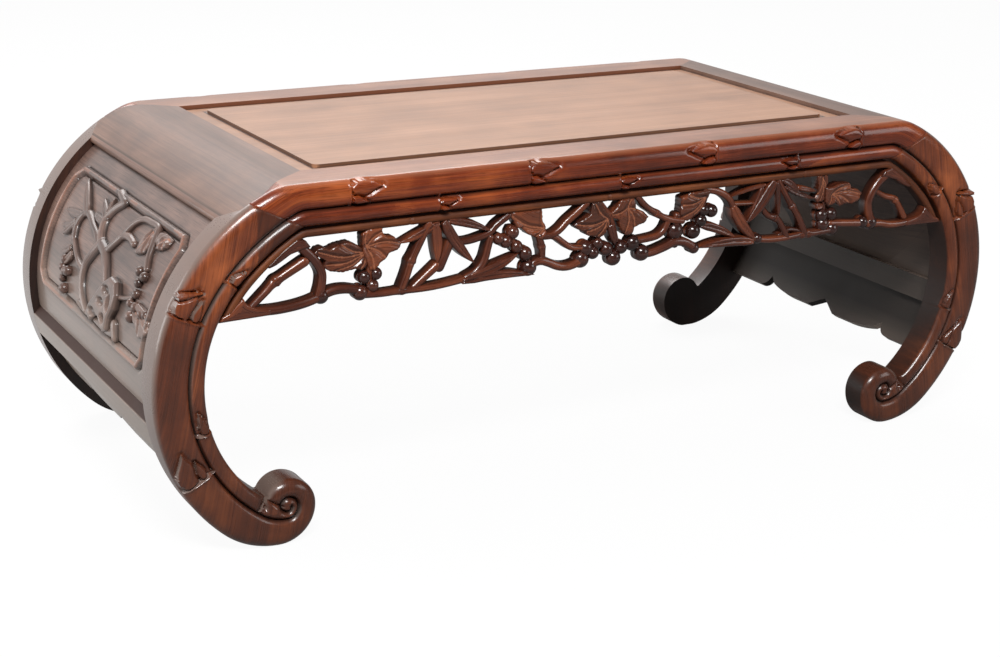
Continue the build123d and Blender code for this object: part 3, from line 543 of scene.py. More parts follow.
# Painted reflection: the rails' level tops are paler, as they mirror the room.
rail_top_reflection_wood = rosewood(
    "rosewood_rail_top", (0.14, 0.054, 0.030), (0.28, 0.120, 0.068), (0.42, 0.20, 0.12),
    roughness=0.40, coat=0.25, pores=0.35,
)
end_wood = rosewood(
    "rosewood_ends", (0.070, 0.036, 0.025), (0.15, 0.080, 0.055), (0.24, 0.135, 0.095),
    roughness=0.42, coat=0.15, carved=True, pores=0.3,
)
lower_wood = rosewood(
    "rosewood_lower", (0.05, 0.028, 0.020), (0.13, 0.080, 0.060), (0.24, 0.155, 0.12),
    roughness=0.38, coat=0.3, grain_axis=1, inward=0.85,
    marks=[paler_low, darker_hollow], dull=[darker_hollow],
)
skirt_wood = rosewood(
    "rosewood_skirts", (0.05, 0.028, 0.020), (0.13, 0.080, 0.060), (0.24, 0.155, 0.12),
    roughness=0.40, coat=0.3, grain_axis=1, inward=0.96, marks=[paler_low],
)
# Painted shade: the battens under the top and the corner pegs are a near-black copy of the rosewood.
shaded_inside_wood = rosewood(
    "rosewood_inside_painted_shade", (0.006, 0.003, 0.002), (0.018, 0.008, 0.006), (0.04, 0.017, 0.011),
    roughness=0.5, coat=0.1, grain_axis=1,
)
print("finishes:", [m.name for m in bpy.data.materials])


# %% Turn a relief into a piece
SHARP_TURN = math.radians(40)


def piece(name, vertices, faces, material, grain, cut, top=None):
    """A mesh object from places in millimetres, with its grain attribute and its cut attribute, which
    holds painted shade and highlights. top is the finish of its level upper faces, painted paler as
    reflection."""
    mesh = bpy.data.meshes.new(name)
    mesh.from_pydata((np.asarray(vertices) * MM).tolist(), [], faces)
    mesh.materials.append(material)
    layer = mesh.attributes.new("grain", "FLOAT_VECTOR", "POINT")
    layer.data.foreach_set("vector", (np.asarray(grain) * MM).ravel())
    layer = mesh.attributes.new("cut", "FLOAT", "POINT")
    layer.data.foreach_set("value", np.asarray(cut, float))
    made = bpy.data.objects.new(name, mesh)
    bpy.context.scene.collection.objects.link(made)
    if top is not None:
        mesh.materials.append(top)
        for side in mesh.polygons:
            side.material_index = int(side.normal.z > 0.94 and side.center.z > (HEIGHT - 1.0) * MM)
    mesh.polygons.foreach_set("use_smooth", [True] * len(mesh.polygons))
    mesh.set_sharp_from_angle(angle=SHARP_TURN)
    return made


def finish_piece(made, *nodes, slot="carved_wood"):
    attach(made, "root")
    if nodes:
        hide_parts(*nodes)
    print(made.name, len(made.data.vertices), "vertices")


# %% [markdown]
# The rails and legs. Each has a thick bamboo stem on the outside and a thin one on the inside. At
# intervals a stem has a node: a raised ring with a cut beside it and a bud that springs from it. The
# ring and the buds are added to the height, so they are cut from the same wood.

# %% Height of the two stems
CROWN = -1.4


def bud(points, base, tip, width, hook=0.0):
    """Height of a plump bud whose tip may hook sideways, and how deep the wood around it is cut."""
    base, tip = np.array(base), np.array(tip)
    run = tip - base
    length = np.hypot(*run)
    run = run / length
    offset = points - base
    along = offset @ run / length
    inner = np.clip(along, 0, 1)
    across = np.abs(offset @ np.array([-run[1], run[0]]) - hook * inner ** 2)
    half = width * np.interp(inner, [0, 0.15, 0.35, 0.6, 0.85, 1.0], [0.62, 0.92, 1.0, 0.70, 0.26, 0.02])
    share = np.clip(across / half, 0, 1)
    height = -0.1 - 4.4 * (1 - np.sqrt(1 - share ** 2)) - 2.2 * np.clip(inner - 0.55, 0, 1) ** 2
    beyond = np.hypot(np.maximum(across - half, 0), np.maximum(along - 1, 0) * length)
    moat = 3.0 * np.exp(-(beyond / (0.30 * width + 0.8)) ** 2) * np.clip(along * 20, 0, 1)
    return np.where((along > 0) & (along < 1) & (share < 1), height, -99.0), moat


def ring(points, start, end, depth=3.0):
    """A stem's node on a line across it: the lip of the lower sleeve and the cut beyond it, on the
    left of the line from start to end."""
    start, end = np.array(start), np.array(end)
    run = end - start
    length = np.hypot(*run)
    run = run / length
    offset = points - start
    along = offset @ run
    across = offset @ np.array([-run[1], run[0]])
    near = np.clip((along + 3) / 2, 0, 1) * np.clip((length + 3 - along) / 2, 0, 1)
    lip = 0.36 * depth * np.exp(-((across + 0.8) / 1.5) ** 2)
    cut = depth * np.exp(-((across - 1.7) / 1.4) ** 2)
    waist = 0.4 * depth * np.clip(1 - across / 16, 0, 1) * (across > 0.5)
    return near * (lip - (cut + waist))


OUTSIDE_ROUND, INSIDE_ROUND, GROOVE_ROUND = (14.0, 10.0), (8.5, 7.0), (8.5, 7.5)


def stem_height(points, rings, buds):
    """Face of the rail or leg: two rounded stems, their rings and their buds."""
    mirrored = np.column_stack([np.abs(points[:, 0]), points[:, 1]])
    outside = fall(reach(mirrored, OUTER)[0], *OUTSIDE_ROUND)
    inside_round = fall(reach(mirrored, INNER)[0], *INSIDE_ROUND)
    between = fall(reach(mirrored, GROOVE)[0], *GROOVE_ROUND)
    height = CROWN - (outside ** 3 + inside_round ** 3 + between ** 3) ** (1 / 3)
    seam = np.abs(past_mitre(mirrored)) / np.hypot(*(TOE - HEEL))
    height = height - 0.8 * np.exp(-(seam / 0.7) ** 2)
    for start, end in rings:
        height = height + ring(points, start, end)
    for base, tip, width, hook in buds:
        shape, moat = bud(points, base, tip, width, hook)
        height = np.maximum(height - moat, shape)
    return np.minimum(height, 0.0)


# %% Cut a rail or leg out of its outline
def on_bow(radius, turn):
    return BOW_X + radius * slope_sin(turn), BOW_Z + radius * slope_cos(turn)


MITRE_TURN, HEEL_INSET = 30.0, 9.0
TOE = np.array(on_bow(BOW_RADIUS, MITRE_TURN))
HEEL = np.array([FLAT_HALF - HEEL_INSET, RAIL_UNDER])


def past_mitre(points):
    """Positive on the leg's side of the mitre."""
    run = TOE - HEEL
    offset = points - HEEL
    return run[1] * offset[:, 0] - run[0] * offset[:, 1]


def leg_outline():
    """The leg's outline. The scroll's last points are left out where they reach back into the leg."""
    outer = OUTER[past_mitre(OUTER) > 1.0]
    from_bow = np.hypot(outer[:, 0] - BOW_X, outer[:, 1] - BOW_Z)
    late = (np.arange(len(outer)) > len(outer) - 60) & (from_bow > INNER_RADIUS - 0.5)
    late = late & (outer[:, 0] > 400) & (outer[:, 1] > 35)
    outer = outer[:late.argmax()] if late.any() else outer
    inner = INNER[past_mitre(INNER) > 1.0]
    gap = np.hypot(*(inner - outer[-1]).T)
    print("the curl meets the leg at", outer[-1].round(1), "gap", gap.min().round(2))
    return even(np.vstack([TOE, outer, inner[:gap.argmin()][::-1], HEEL]), 1.5)


def rail_outline():
    outer = OUTER[past_mitre(OUTER) < -1.0]
    inner = INNER[past_mitre(INNER) < -1.0]
    half = np.vstack([outer[1:], TOE, HEEL, inner[::-1][:-1]])
    left = half[::-1] * [-1, 1]
    return even(np.vstack([[[0, HEIGHT]], half, [[0, RAIL_UNDER]], left]), 1.6)


LEG, RAIL = leg_outline(), rail_outline()
print("leg outline", LEG.min(0), LEG.max(0), "rail outline", RAIL.min(0), RAIL.max(0))


# %% Legs
def stem_grain(vertices):
    """Grain follows the stems: along the groove's line, across it, and into the wood."""
    flat = np.column_stack([np.abs(vertices[:, 0]), vertices[:, 1]])
    distance, along = reach(flat, GROOVE)
    away = np.hypot(flat[:, 0] - BOW_X, flat[:, 1] - BOW_Z)
    across = np.where(away > SPLIT_RADIUS, distance, -distance)
    return np.column_stack([along * np.sign(vertices[:, 0] + 1e-6), across, vertices[:, 2]])


def groove_shade(vertices, width, depth):
    """Painted shade: how dark each place is, 0 on the crown and most in the groove, which is wider in
    the scroll.
    """
    flat = np.column_stack([np.abs(vertices[:, 0]), vertices[:, 1]])
    in_scroll = (flat[:, 1] < 64) & (flat[:, 0] < 416)
    width = np.where(in_scroll, 1.5 * width, width)
    near = depth * np.exp(-(reach(flat, GROOVE)[0] / width) ** 2)
    return np.where(vertices[:, 2] > -12, near, 0.1)


def to_front(vertices):
    """From (across, up, height) to a place on the table's front."""
    return np.column_stack([vertices[:, 0], FRONT - vertices[:, 2], vertices[:, 1]])


def turned(faces):
    return [list(reversed(face)) for face in faces]


FRONT_AND_REAR = (("front", 1, 1), ("rear", 1, -1))


def four_ways(name, vertices, faces, grain, cut, material, slot, corners, patch=None, top=None):
    """The same carved solid at mirrored places: corners is ((suffix, x sign, y sign), ...). patch
    darkens the front left one."""
    for suffix, x_sign, y_sign in corners:
        if patch is not None and suffix == "front_left":
            cut = cut + patch
        placed = vertices * [x_sign, y_sign, 1]
        sides = faces if x_sign * y_sign > 0 else turned(faces)
        made = piece(name.format(suffix), placed, sides, material, grain, cut, top=top)
        node = name.format(suffix).replace("carved_", "")
        finish_piece(made, *([node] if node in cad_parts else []), slot=slot)


def bow_bud(radius, turn, tip_radius, tip_turn, width, hook=0.0):
    return on_bow(radius, turn), on_bow(tip_radius, tip_turn), width, hook


RING_SPANS = [
    # radius at both ends, and the way round the bow in degrees
    (175, 212, 66.5), (156, 172, 50.5), (175, 212, 119.0), (156, 171, 105.2), (156, 170, 143.0),
]
LEG_RINGS = [(on_bow(near, turn), on_bow(far, turn)) for near, far, turn in RING_SPANS]
LEG_BUDS = [
    bow_bud(198.5, 66.0, 194.0, 57.0, 11.5, 2.0), bow_bud(209.0, 61.5, 188.5, 56.6, 3.4, 2.0),
    bow_bud(183.0, 66.0, 184.0, 59.0, 4.8), bow_bud(165.0, 50.0, 164.5, 43.5, 5.4, 2.0),
    bow_bud(198.5, 118.5, 198.0, 108.0, 11.5, 4.0), bow_bud(183.5, 118.5, 184.5, 112.0, 4.8),
    bow_bud(164.0, 104.8, 166.0, 96.5, 5.2, -1.5),
]


BOARD_END_TURN = 38.2
END_X = on_bow(BOW_RADIUS, BOARD_END_TURN)[0]
ROUNDED = -12.5


def leg_back(outline):
    """The leg's back, cut away on top for the shoulder board's corner."""
    share = np.clip((outline[:, 0] - TOE[0]) / (END_X - TOE[0]), 0, 1)
    on_top = (reach(outline, OUTER)[0] < 1.0) & (outline[:, 1] > BOW_Z)
    return np.where(on_top, np.minimum(-LEG_THICKNESS * share, ROUNDED), -LEG_THICKNESS)


LEG_FINE = [
    (on_bow(196, 61), 25), (on_bow(165, 47), 15), (on_bow(194, 113.5), 26), (on_bow(165, 101), 17),
    ((392, 41), 22),
]
THIN_CREST = [beside(GROOVE[GROOVE[:, 1] > 60], -6.5), beside(INNER[INNER[:, 1] > 60], 5.0)]
LEG_CREASES = THIN_CREST + [GROOVE] + [np.linspace(start, end, 24) for start, end in LEG_RINGS]
leg_flat, leg_faces = relief(
    LEG, lambda points, edge: stem_height(points, LEG_RINGS, LEG_BUDS), leg_back,
    fine=LEG_FINE, creases=LEG_CREASES,
)
leg_flat[:, 1] = np.maximum(leg_flat[:, 1], 0.0)
lean = math.radians(12)
leg_grain = np.column_stack([
    leg_flat[:, 1] * math.cos(lean) - leg_flat[:, 0] * math.sin(lean),
    leg_flat[:, 0] * math.cos(lean) + leg_flat[:, 1] * math.sin(lean), leg_flat[:, 2] * 0.15,
])
leg_shade = groove_shade(leg_flat, 1.9, 0.85)
LEG_CORNERS = (
    ("rear_left", -1, -1), ("rear_right", 1, -1), ("front_right", 1, 1), ("front_left", -1, 1),
)
dark_block = 0.62 * ((leg_flat[:, 0] < 420) & (leg_flat[:, 1] > 280) & (leg_shade < 0.3))
four_ways(
    "carved_{}_leg", to_front(leg_flat), leg_faces, leg_grain, leg_shade, leg_wood,
    "frame_wood", LEG_CORNERS, dark_block,
)

# %% Rails
THICK_NODES, THIN_NODES = (117.0, 320.0), (-222.0, -5.0, 231.0)
RAIL_RINGS, RAIL_BUDS = [], []
for side in (-1, 1):
    for place in THICK_NODES:
        RAIL_RINGS.append(((side * place, 352), (side * place, 372))[::side])
        RAIL_BUDS.append(((side * (place - 1), 365), (side * (place - 34), 370), 8.5, side * 2.0))
        RAIL_BUDS.append(((side * (place - 1), 356), (side * (place - 19), 352.5), 4.5, 0.0))
for place in THIN_NODES:
    toward = -1 if place > 0 else 1
    RAIL_RINGS.append(((place, 333), (place, 348))[::-toward])
    RAIL_BUDS.append(((place + toward, 342), (place + toward * 21, 345), 4.5, 0.0))
    RAIL_BUDS.append(((place + toward, 337), (place + toward * 13, 335.5), 2.8, 0.0))


def rail_back(outline):
    """The rail's back, cut away at its ends for the mitred shoulder boards."""
    share = np.clip((np.abs(outline[:, 0]) - RECESS_HALF_X) / (TOE[0] - RECESS_HALF_X), 0, 1)
    above_board = outline[:, 1] > HEIGHT - BOARD_THICKNESS
    return np.minimum(-RAIL_WIDTH * (1 - share * above_board), ROUNDED)


RAIL_FINE = [((side * (place - 14), 362), 24) for side in (-1, 1) for place in THICK_NODES]
RAIL_FINE += [((place + (8 if place < 0 else -8), 341), 15) for place in THIN_NODES]
rail_groove = GROOVE[GROOVE[:, 1] > 300]
RAIL_CREASES = [rail_groove, rail_groove * [-1, 1]]
RAIL_CREASES += [np.linspace(start, end, 16) for start, end in RAIL_RINGS]
rail_flat, rail_faces = relief(
    RAIL, lambda points, edge: stem_height(points, RAIL_RINGS, RAIL_BUDS), rail_back,
    fine=RAIL_FINE, creases=RAIL_CREASES,
)
# Painted reflection along the rail's upper edge, where it mirrors the room.
painted_edge_highlight = 0.75 * np.exp(-((HEIGHT - rail_flat[:, 1]) / 4.5) ** 2)
rail_shade_and_highlight = groove_shade(rail_flat, 2.5, 1.0) - painted_edge_highlight
four_ways(
    "carved_{}_rail", to_front(rail_flat), rail_faces, stem_grain(rail_flat), rail_shade_and_highlight, frame_wood,
    "frame_wood", FRONT_AND_REAR, top=rail_top_reflection_wood,
)

# %% [markdown]
# The shoulder boards carry the top over the bend. Each is one board worked to the same curve as the
# legs, mitred against the rails and legs, with a rounded nose. Near its lower end a fine line is
# painted in as a line of shade, with a painted highlight on the lip beyond it. Its section is drawn
# on the front, and the reach to front and rear is its height.

# %% Shoulder boards
def board_section():
    """The board's section: along the bow, round its nose and back along its underside."""
    on_line = OUTER[(OUTER[:, 0] >= RECESS_HALF_X) & (OUTER[:, 0] <= END_X) & (OUTER[:, 1] > BOW_Z)]
    tangent = on_line[-1] - on_line[-2]
    tangent /= np.hypot(*tangent)
    inward = np.array([tangent[1], -tangent[0]])
    centre = on_line[-1] + inward * NOSE_RADIUS
    nose = [
        centre - inward * NOSE_RADIUS * math.cos(t) + tangent * NOSE_RADIUS * math.sin(t)
        for t in np.linspace(0.3, math.pi, 9)
    ]
    under = on_line[::-1][6:] + [-8.0, -BOARD_THICKNESS]
    under = under[under[:, 0] > RECESS_HALF_X + 1.0]
    first, last = [[RECESS_HALF_X, HEIGHT]], [[RECESS_HALF_X, HEIGHT - BOARD_THICKNESS]]
    return np.vstack([first, on_line, nose, under, last])


def board_reach(points):
    """How far the board runs to the front: along the rail's mitre, then along the leg's."""
    rail = RECESS_HALF_Y + (points[:, 0] - RECESS_HALF_X) / (TOE[0] - RECESS_HALF_X) * RAIL_WIDTH
    leg = -FRONT - (points[:, 0] - TOE[0]) / (END_X - TOE[0]) * LEG_THICKNESS
    return np.clip(np.minimum(rail, leg), RECESS_HALF_Y, -FRONT + ROUNDED)


board_flat, board_faces = relief(
    even(board_section(), 1.6), lambda points, edge: board_reach(points),
    lambda outline: -board_reach(outline), 4.0, (1.0,),
)
board_along = reach(board_flat[:, :2], OUTER)[1]
for end, side in (("left", -1), ("right", 1)):
    placed = np.column_stack([side * board_flat[:, 0], -board_flat[:, 2], board_flat[:, 1]])
    sides = board_faces if side > 0 else turned(board_faces)
    grain = np.column_stack([board_flat[:, 2], board_along, board_flat[:, 1]])
    to_end = board_along.max() - board_along
    # Painted shade for a fine line 8 mm from the board's end, and a painted highlight on the lip beyond
    # it.
    line_shade_and_lip_highlight = np.exp(-((to_end - 8.0) / 1.1) ** 2) - 0.26 * (to_end < 6.0)
    made = piece("shaped_" + end + "_shoulder", placed, sides, end_wood, grain, line_shade_and_lip_highlight)
    finish_piece(made, end + "_shoulder_board", slot="frame_wood")

# %% [markdown]
# The apron is fretwork: a board sawn right through, then carved so that stems pass over each other,
# leaves are cupped and grapes are round. Each stem, leaf and berry is drawn with a few points and cut
# as its own relief at its own level, and the sawn walls behind them are what give the openings their
# depth. A stem takes its outline from a smooth line and a width, a leaf from its base and tip.

# %% Lines and outlines of the carving
def smooth(points, spacing=1.4):
    """Smooth line through the points."""
    points = np.array(points, float)
    if len(points) == 2:
        count = max(2, int(np.hypot(*(points[1] - points[0])) / spacing))
        return points[0] + np.linspace(0, 1, count + 1)[:, None] * (points[1] - points[0])
    ends = np.vstack([2 * points[0] - points[1], points, 2 * points[-1] - points[-2]])
    line = [points[0]]
    for before, start, end, after in zip(ends, ends[1:], ends[2:], ends[3:]):
        count = max(2, int(np.hypot(*(end - start)) / spacing))
        for t in np.linspace(0, 1, count + 1)[1:]:
            pull = (end - before) * t + (2 * before - 5 * start + 4 * end - after) * t ** 2
            line.append(start + 0.5 * (pull + (3 * start - before - 3 * end + after) * t ** 3))
    return np.array(line)


def stem_outline(line, width, swollen=()):
    """Outline of a stem with round ends. width is one number, or one for each end, and the stem is a
    quarter wider at its swollen places."""
    tangent = np.gradient(line, axis=0)
    tangent /= np.hypot(*tangent.T)[:, None]
    side = np.stack([-tangent[:, 1], tangent[:, 0]], 1)
    half = np.interp(np.linspace(0, 1, len(line)), [0, 1], np.array([width, width]).ravel()[[0, -1]]) / 2
    for place in swollen:
        half = half * (1 + 0.28 * np.exp(-(np.hypot(*(line - place).T) / 4.0) ** 2))
    half = half[:, None]
    turn = np.radians([60, 30, 0, -30, -60])[:, None]
    tip = line[-1] + half[-1] * (np.cos(turn) * tangent[-1] + np.sin(turn) * side[-1])
    tail = line[0] - half[0] * (np.cos(turn) * tangent[0] + np.sin(turn) * side[0])
    return np.vstack([line + side * half, tip, (line - side * half)[::-1], tail])


def blade_outline(base, tip, width, bend=0.0):
    """Outline and midrib of a long bamboo leaf."""
    base, tip = np.array(base, float), np.array(tip, float)
    run = tip - base
    side = np.array([-run[1], run[0]]) / np.hypot(*run)
    t = np.linspace(0, 1, 24)[:, None]
    rib = base + run * t + side * bend * 4 * t * (1 - t)
    half = width / 2 * np.clip(t * 4 + 0.35, 0, 1) ** 0.6 * (1 - np.clip((t - 0.35) / 0.65, 0, 1) ** 2.2)
    return np.vstack([rib + side * half, (rib - side * half)[::-1][1:]]), rib


def vine_outline(points):
    """Outline of a grape leaf: the drawn corners, with small teeth between them."""
    ring = even(np.array(points, float), 1.3)
    place = np.arange(len(ring))
    outward = ring - ring.mean(0)
    outward /= np.hypot(*outward.T)[:, None]
    return ring + outward * (0.55 * np.abs(np.sin(place * 0.9)))[:, None]


THIN_ROWS = (0.2, 0.8, 1.8)


class Carving:
    """Collects reliefs into one mesh. Each has its own level and runs back to the same depth. The cut
    attribute holds painted shade that deepens below the level; leaf faces are a little paler, and the
    veins of a leaf get a painted highlight."""

    def __init__(self):
        self.vertices, self.faces, self.grain, self.cut, self.outlines = [], [], [], [], []
        self.count = 0

    def add(self, vertices, faces, line, level, reach_down=6.0, veins=()):
        distance, along = reach(vertices[:, :2], line)
        self.vertices.append(vertices)
        self.faces += [[self.count + k for k in face] for face in faces]
        self.count += len(vertices)
        self.grain.append(np.column_stack([along + self.count, distance, vertices[:, 2]]))
        # Painted shade: darker the further below the level; leaf faces a little paler, veins a painted
        # highlight.
        cut = np.clip((level - vertices[:, 2] - 2.5) / reach_down, 0, 1)
        cut = np.where((cut < 0.3) & (len(veins) > 0), cut - 0.28, cut)
        for vein in veins:
            near = (reach(vertices[:, :2], vein)[0] < 0.55) & (vertices[:, 2] > level - 5)
            cut = np.where(near, -1.0, cut)
        self.cut.append(cut)

    def stem(self, width, level, points, nodes=(), back=APRON_BACK):
        line = smooth(points)
        widest = float(np.max(width))
        cuts = []
        for node in nodes:
            spot = np.hypot(*(line - node).T).argmin()
            way = line[min(spot + 1, len(line) - 1)] - line[max(spot - 1, 0)]
            way = np.array([-way[1], way[0]]) / np.hypot(*way) * widest * 0.6
            cuts.append((line[spot] - way, line[spot] + way))

        def face(points, edge):
            height = level - 1.3 - fall(edge, widest * 0.5, widest * 0.42)
            for start, end in cuts:
                height = height + ring(points, start, end, 0.9)
            return height

        outline = even(stem_outline(line, width, nodes), 1.2)
        self.outlines.append(outline)
        self.add(*relief(outline, face, back, 1.4, THIN_ROWS, creases=[line]), line, level)

    def blade(self, width, level, base, tip, bend, back=APRON_BACK):
        outline, rib = blade_outline(base, tip, width, bend)
        self.outlines.append(outline)

        def face(points, edge):
            crease = reach(points, rib)[0]
            return level - fall(edge, 2.6, 2.4) - 1.0 * np.exp(-(crease / 0.9) ** 2)

        self.add(*relief(even(outline, 1.2), face, back, 1.3, THIN_ROWS), rib, level)

    def vine_leaf(self, level, heart, corners, lobes, back=APRON_BACK):
        outline = vine_outline(corners)
        self.outlines.append(outline)
        heart = np.array(heart, float)
        veins = []
        for lobe in np.array(lobes, float):
            way = lobe - heart
            veins.append(smooth([heart, heart + way * 0.5 + np.array([-way[1], way[0]]) * 0.09, lobe]))
        size = np.hypot(*(outline - heart).T).max()

        def face(points, edge):
            away = np.hypot(*(points - heart).T) / size
            vein = np.min([reach(points, line)[0] for line in veins], axis=0)
            height = level - 1.6 - fall(edge, 3.2, 2.8) - 4.0 * (away - 0.45) ** 2
            cupped = 1.3 * np.cos(np.clip(vein / 5.0, 0, 1) * math.pi)
            return height - cupped + 0.6 * np.exp(-(vein / 0.6) ** 2)

        self.add(*relief(outline, face, back, 1.0, (0.2, 0.8, 1.7)), veins[0], level, 4.0, veins)

    def block(self, level, corners):
        outline = even(np.array(corners, float), 1.6)
        carved = relief(outline, lambda points, edge: level - fall(edge, 2.0, 2.0), APRON_BACK)
        self.add(*carved, closed(outline), level)

    def shade_near_carving(self, vertices, cut):
        """Painted shade on the ground close to what is carved on it."""
        for outline in self.outlines:
            middle, half = (outline.max(0) + outline.min(0)) / 2, np.ptp(outline, axis=0) / 2
            near = (np.abs(vertices[:, :2] - middle) < half + 6).all(1)
            if near.any():
                distance = reach(vertices[near, :2], closed(outline))[0]
                cut[near] = np.maximum(cut[near], 0.6 * np.exp(-(distance / 2.6) ** 2))
        return cut

    def arrays(self):
        return np.vstack(self.vertices), self.faces, np.vstack(self.grain), np.concatenate(self.cut)


print("a stem's outline has", len(stem_outline(smooth([(0, 0), (10, 4), (20, 0)]), 8)), "points")

# %% The drawing of the apron
STEMS = [
    # width, level, points, nodes: left end
    (9.5, -7, [(-377, 317), (-366, 307), (-356, 296), (-349, 283), (-349, 271), (-352, 260)], []),
    ((8, 11), -8.5, [(-424, 256), (-408, 270), (-396, 280), (-366, 296)], [(-397, 279)]),
    (9, -7, [(-440, 257), (-418, 252), (-400, 250.5), (-380, 251.5), (-364, 254), (-350, 258)], []),
    (9.5, -8, [(-350, 258), (-336, 262), (-322, 262), (-309, 259)], []),
    (6, -9, [(-296, 284), (-297, 270), (-296, 256)], []),
    # left of the middle
    ((7, 7.5), -7.5, [(-309, 254), (-285, 252.5), (-262, 252.5), (-236, 252), (-214, 253),
        (-186, 256)], [(-261, 252.5)]),
    (8.5, -7, [(-260, 256), (-255, 268), (-250, 282), (-243, 296), (-230, 320)], [(-250, 282)]),
    ((8, 10), -8, [(-247, 254), (-232, 265), (-220, 274)], []),
    (11, -7.5, [(-217, 272), (-211, 285), (-205, 298)], []),
    ((7, 8), -8, [(-203, 297), (-186, 296), (-172, 298), (-159, 302), (-150, 310), (-137, 318)], []),
    ((8, 10), -7, [(-158, 297), (-161, 286), (-165, 273), (-174, 262), (-186, 256)], []),
    (5, -10, [(-134, 304), (-128, 286), (-116, 275), (-108, 260)], []),
    (9, -7, [(-111, 257), (-104, 263), (-96, 264), (-87, 261), (-76, 256), (-66, 254), (-56, 255),
        (-45, 259)], []),
    ((8, 7), -8.5, [(-99, 291), (-95, 278), (-94, 264)], [(-94, 280)]),
    ((8, 8.5), -7.5, [(-98, 291), (-84, 291), (-74, 296), (-65, 304), (-55, 311), (-42, 321)], []),
    ((7, 6.5), -8.5, [(-94, 292), (-79, 288), (-69, 281), (-58, 274), (-42, 272)], []),
    # middle
    (5.5, -9, [(-26, 322), (-13, 306), (-7, 293), (-2, 276)], []),
    (6, -11, [(-45, 260), (-26, 272), (-12, 267), (-4, 257)], []),
    (6, -11, [(-4, 257), (6, 267), (20, 270), (33, 257)], []),
    # right of the middle
    ((7, 7), -7.5, [(22, 322), (34, 310), (46, 302), (60, 294), (72, 290), (83, 288)], [(49, 301)]),
    (7.5, -8, [(65, 291), (60, 281), (52, 275), (40, 273), (22, 272)], []),
    (9, -9, [(77, 294), (76, 278), (76, 262)], []),
    ((9.5, 10.5), -7, [(30, 256), (46, 257), (62, 261), (75, 265), (88, 263), (102, 255)], []),
    (5, -10, [(113, 300), (108, 287), (101, 274)], []),
    ((8.5, 8), -7.5, [(112, 321), (128, 317), (140, 311), (148, 303), (152, 293)], []),
    ((5, 3.5), -8.5, [(148, 300), (164, 299), (184, 298)], []),
    ((7, 8), -7.5, [(187, 297), (200, 282), (214, 276), (222, 266), (230, 253)], [(211, 277)]),
    ((7, 8.5), -7, [(212, 321), (224, 303), (234, 289), (244, 275), (255, 255)], [(234, 289)]),
    ((7, 7.5), -7.5, [(184, 256), (200, 253), (222, 252), (248, 253), (268, 253), (292, 254)],
        [(251, 253), (261, 253)]),
    (4.5, -10, [(219, 256), (233, 261), (248, 258)], []),
    (5, -11, [(282, 288), (283, 270), (296, 256)], []),
    ((8, 9), -8, [(292, 262), (312, 260), (330, 258), (354, 256)], []),
    # right end
    ((11, 10), -7, [(376, 316), (362, 306), (352, 294), (347, 281), (349, 268), (355, 257)], []),
    ((6, 8), -8.5, [(353, 296), (372, 286), (388, 280), (404, 258)], [(388, 280)]),
    (8.5, -7, [(350, 255), (366, 254), (384, 250.5), (404, 250.5), (424, 254), (440, 259)], []),
]
BLADES = [
    # width, level, base, tip, bend
    (9, -8.5, (-218, 320), (-266, 303), 2), (11, -8, (-224, 320), (-221, 276), 2),
    (12, -7, (-214, 321), (-177, 272), -3), (9, -8, (-209, 321), (-157, 304), 2),
    (11, -7.5, (-182, 258), (-124, 277), -3), (10, -7, (-192, 254), (-104, 250.5), 4),
    (9, -8, (-12, 295), (-4, 270), 0), (13, -7, (149, 298), (186, 254), -3),
    (5, -8.5, (195, 318), (146, 308), -2), (13, -7, (206, 322), (167, 275), 3),
    (7, -8.5, (190, 317), (171, 281), 2), (7, -8, (210, 320), (215, 278), 0),
    (9, -8, (217, 322), (243, 303), 2), (7, -8.5, (222, 313), (268, 294), -2),
    (6, -9, (240, 310), (268, 303), 0), (11, -7.5, (182, 254), (102, 255), -3),
    (10, -8, (108, 281), (157, 261), 2), (8, -9, (268, 285), (280, 284), 0),
]
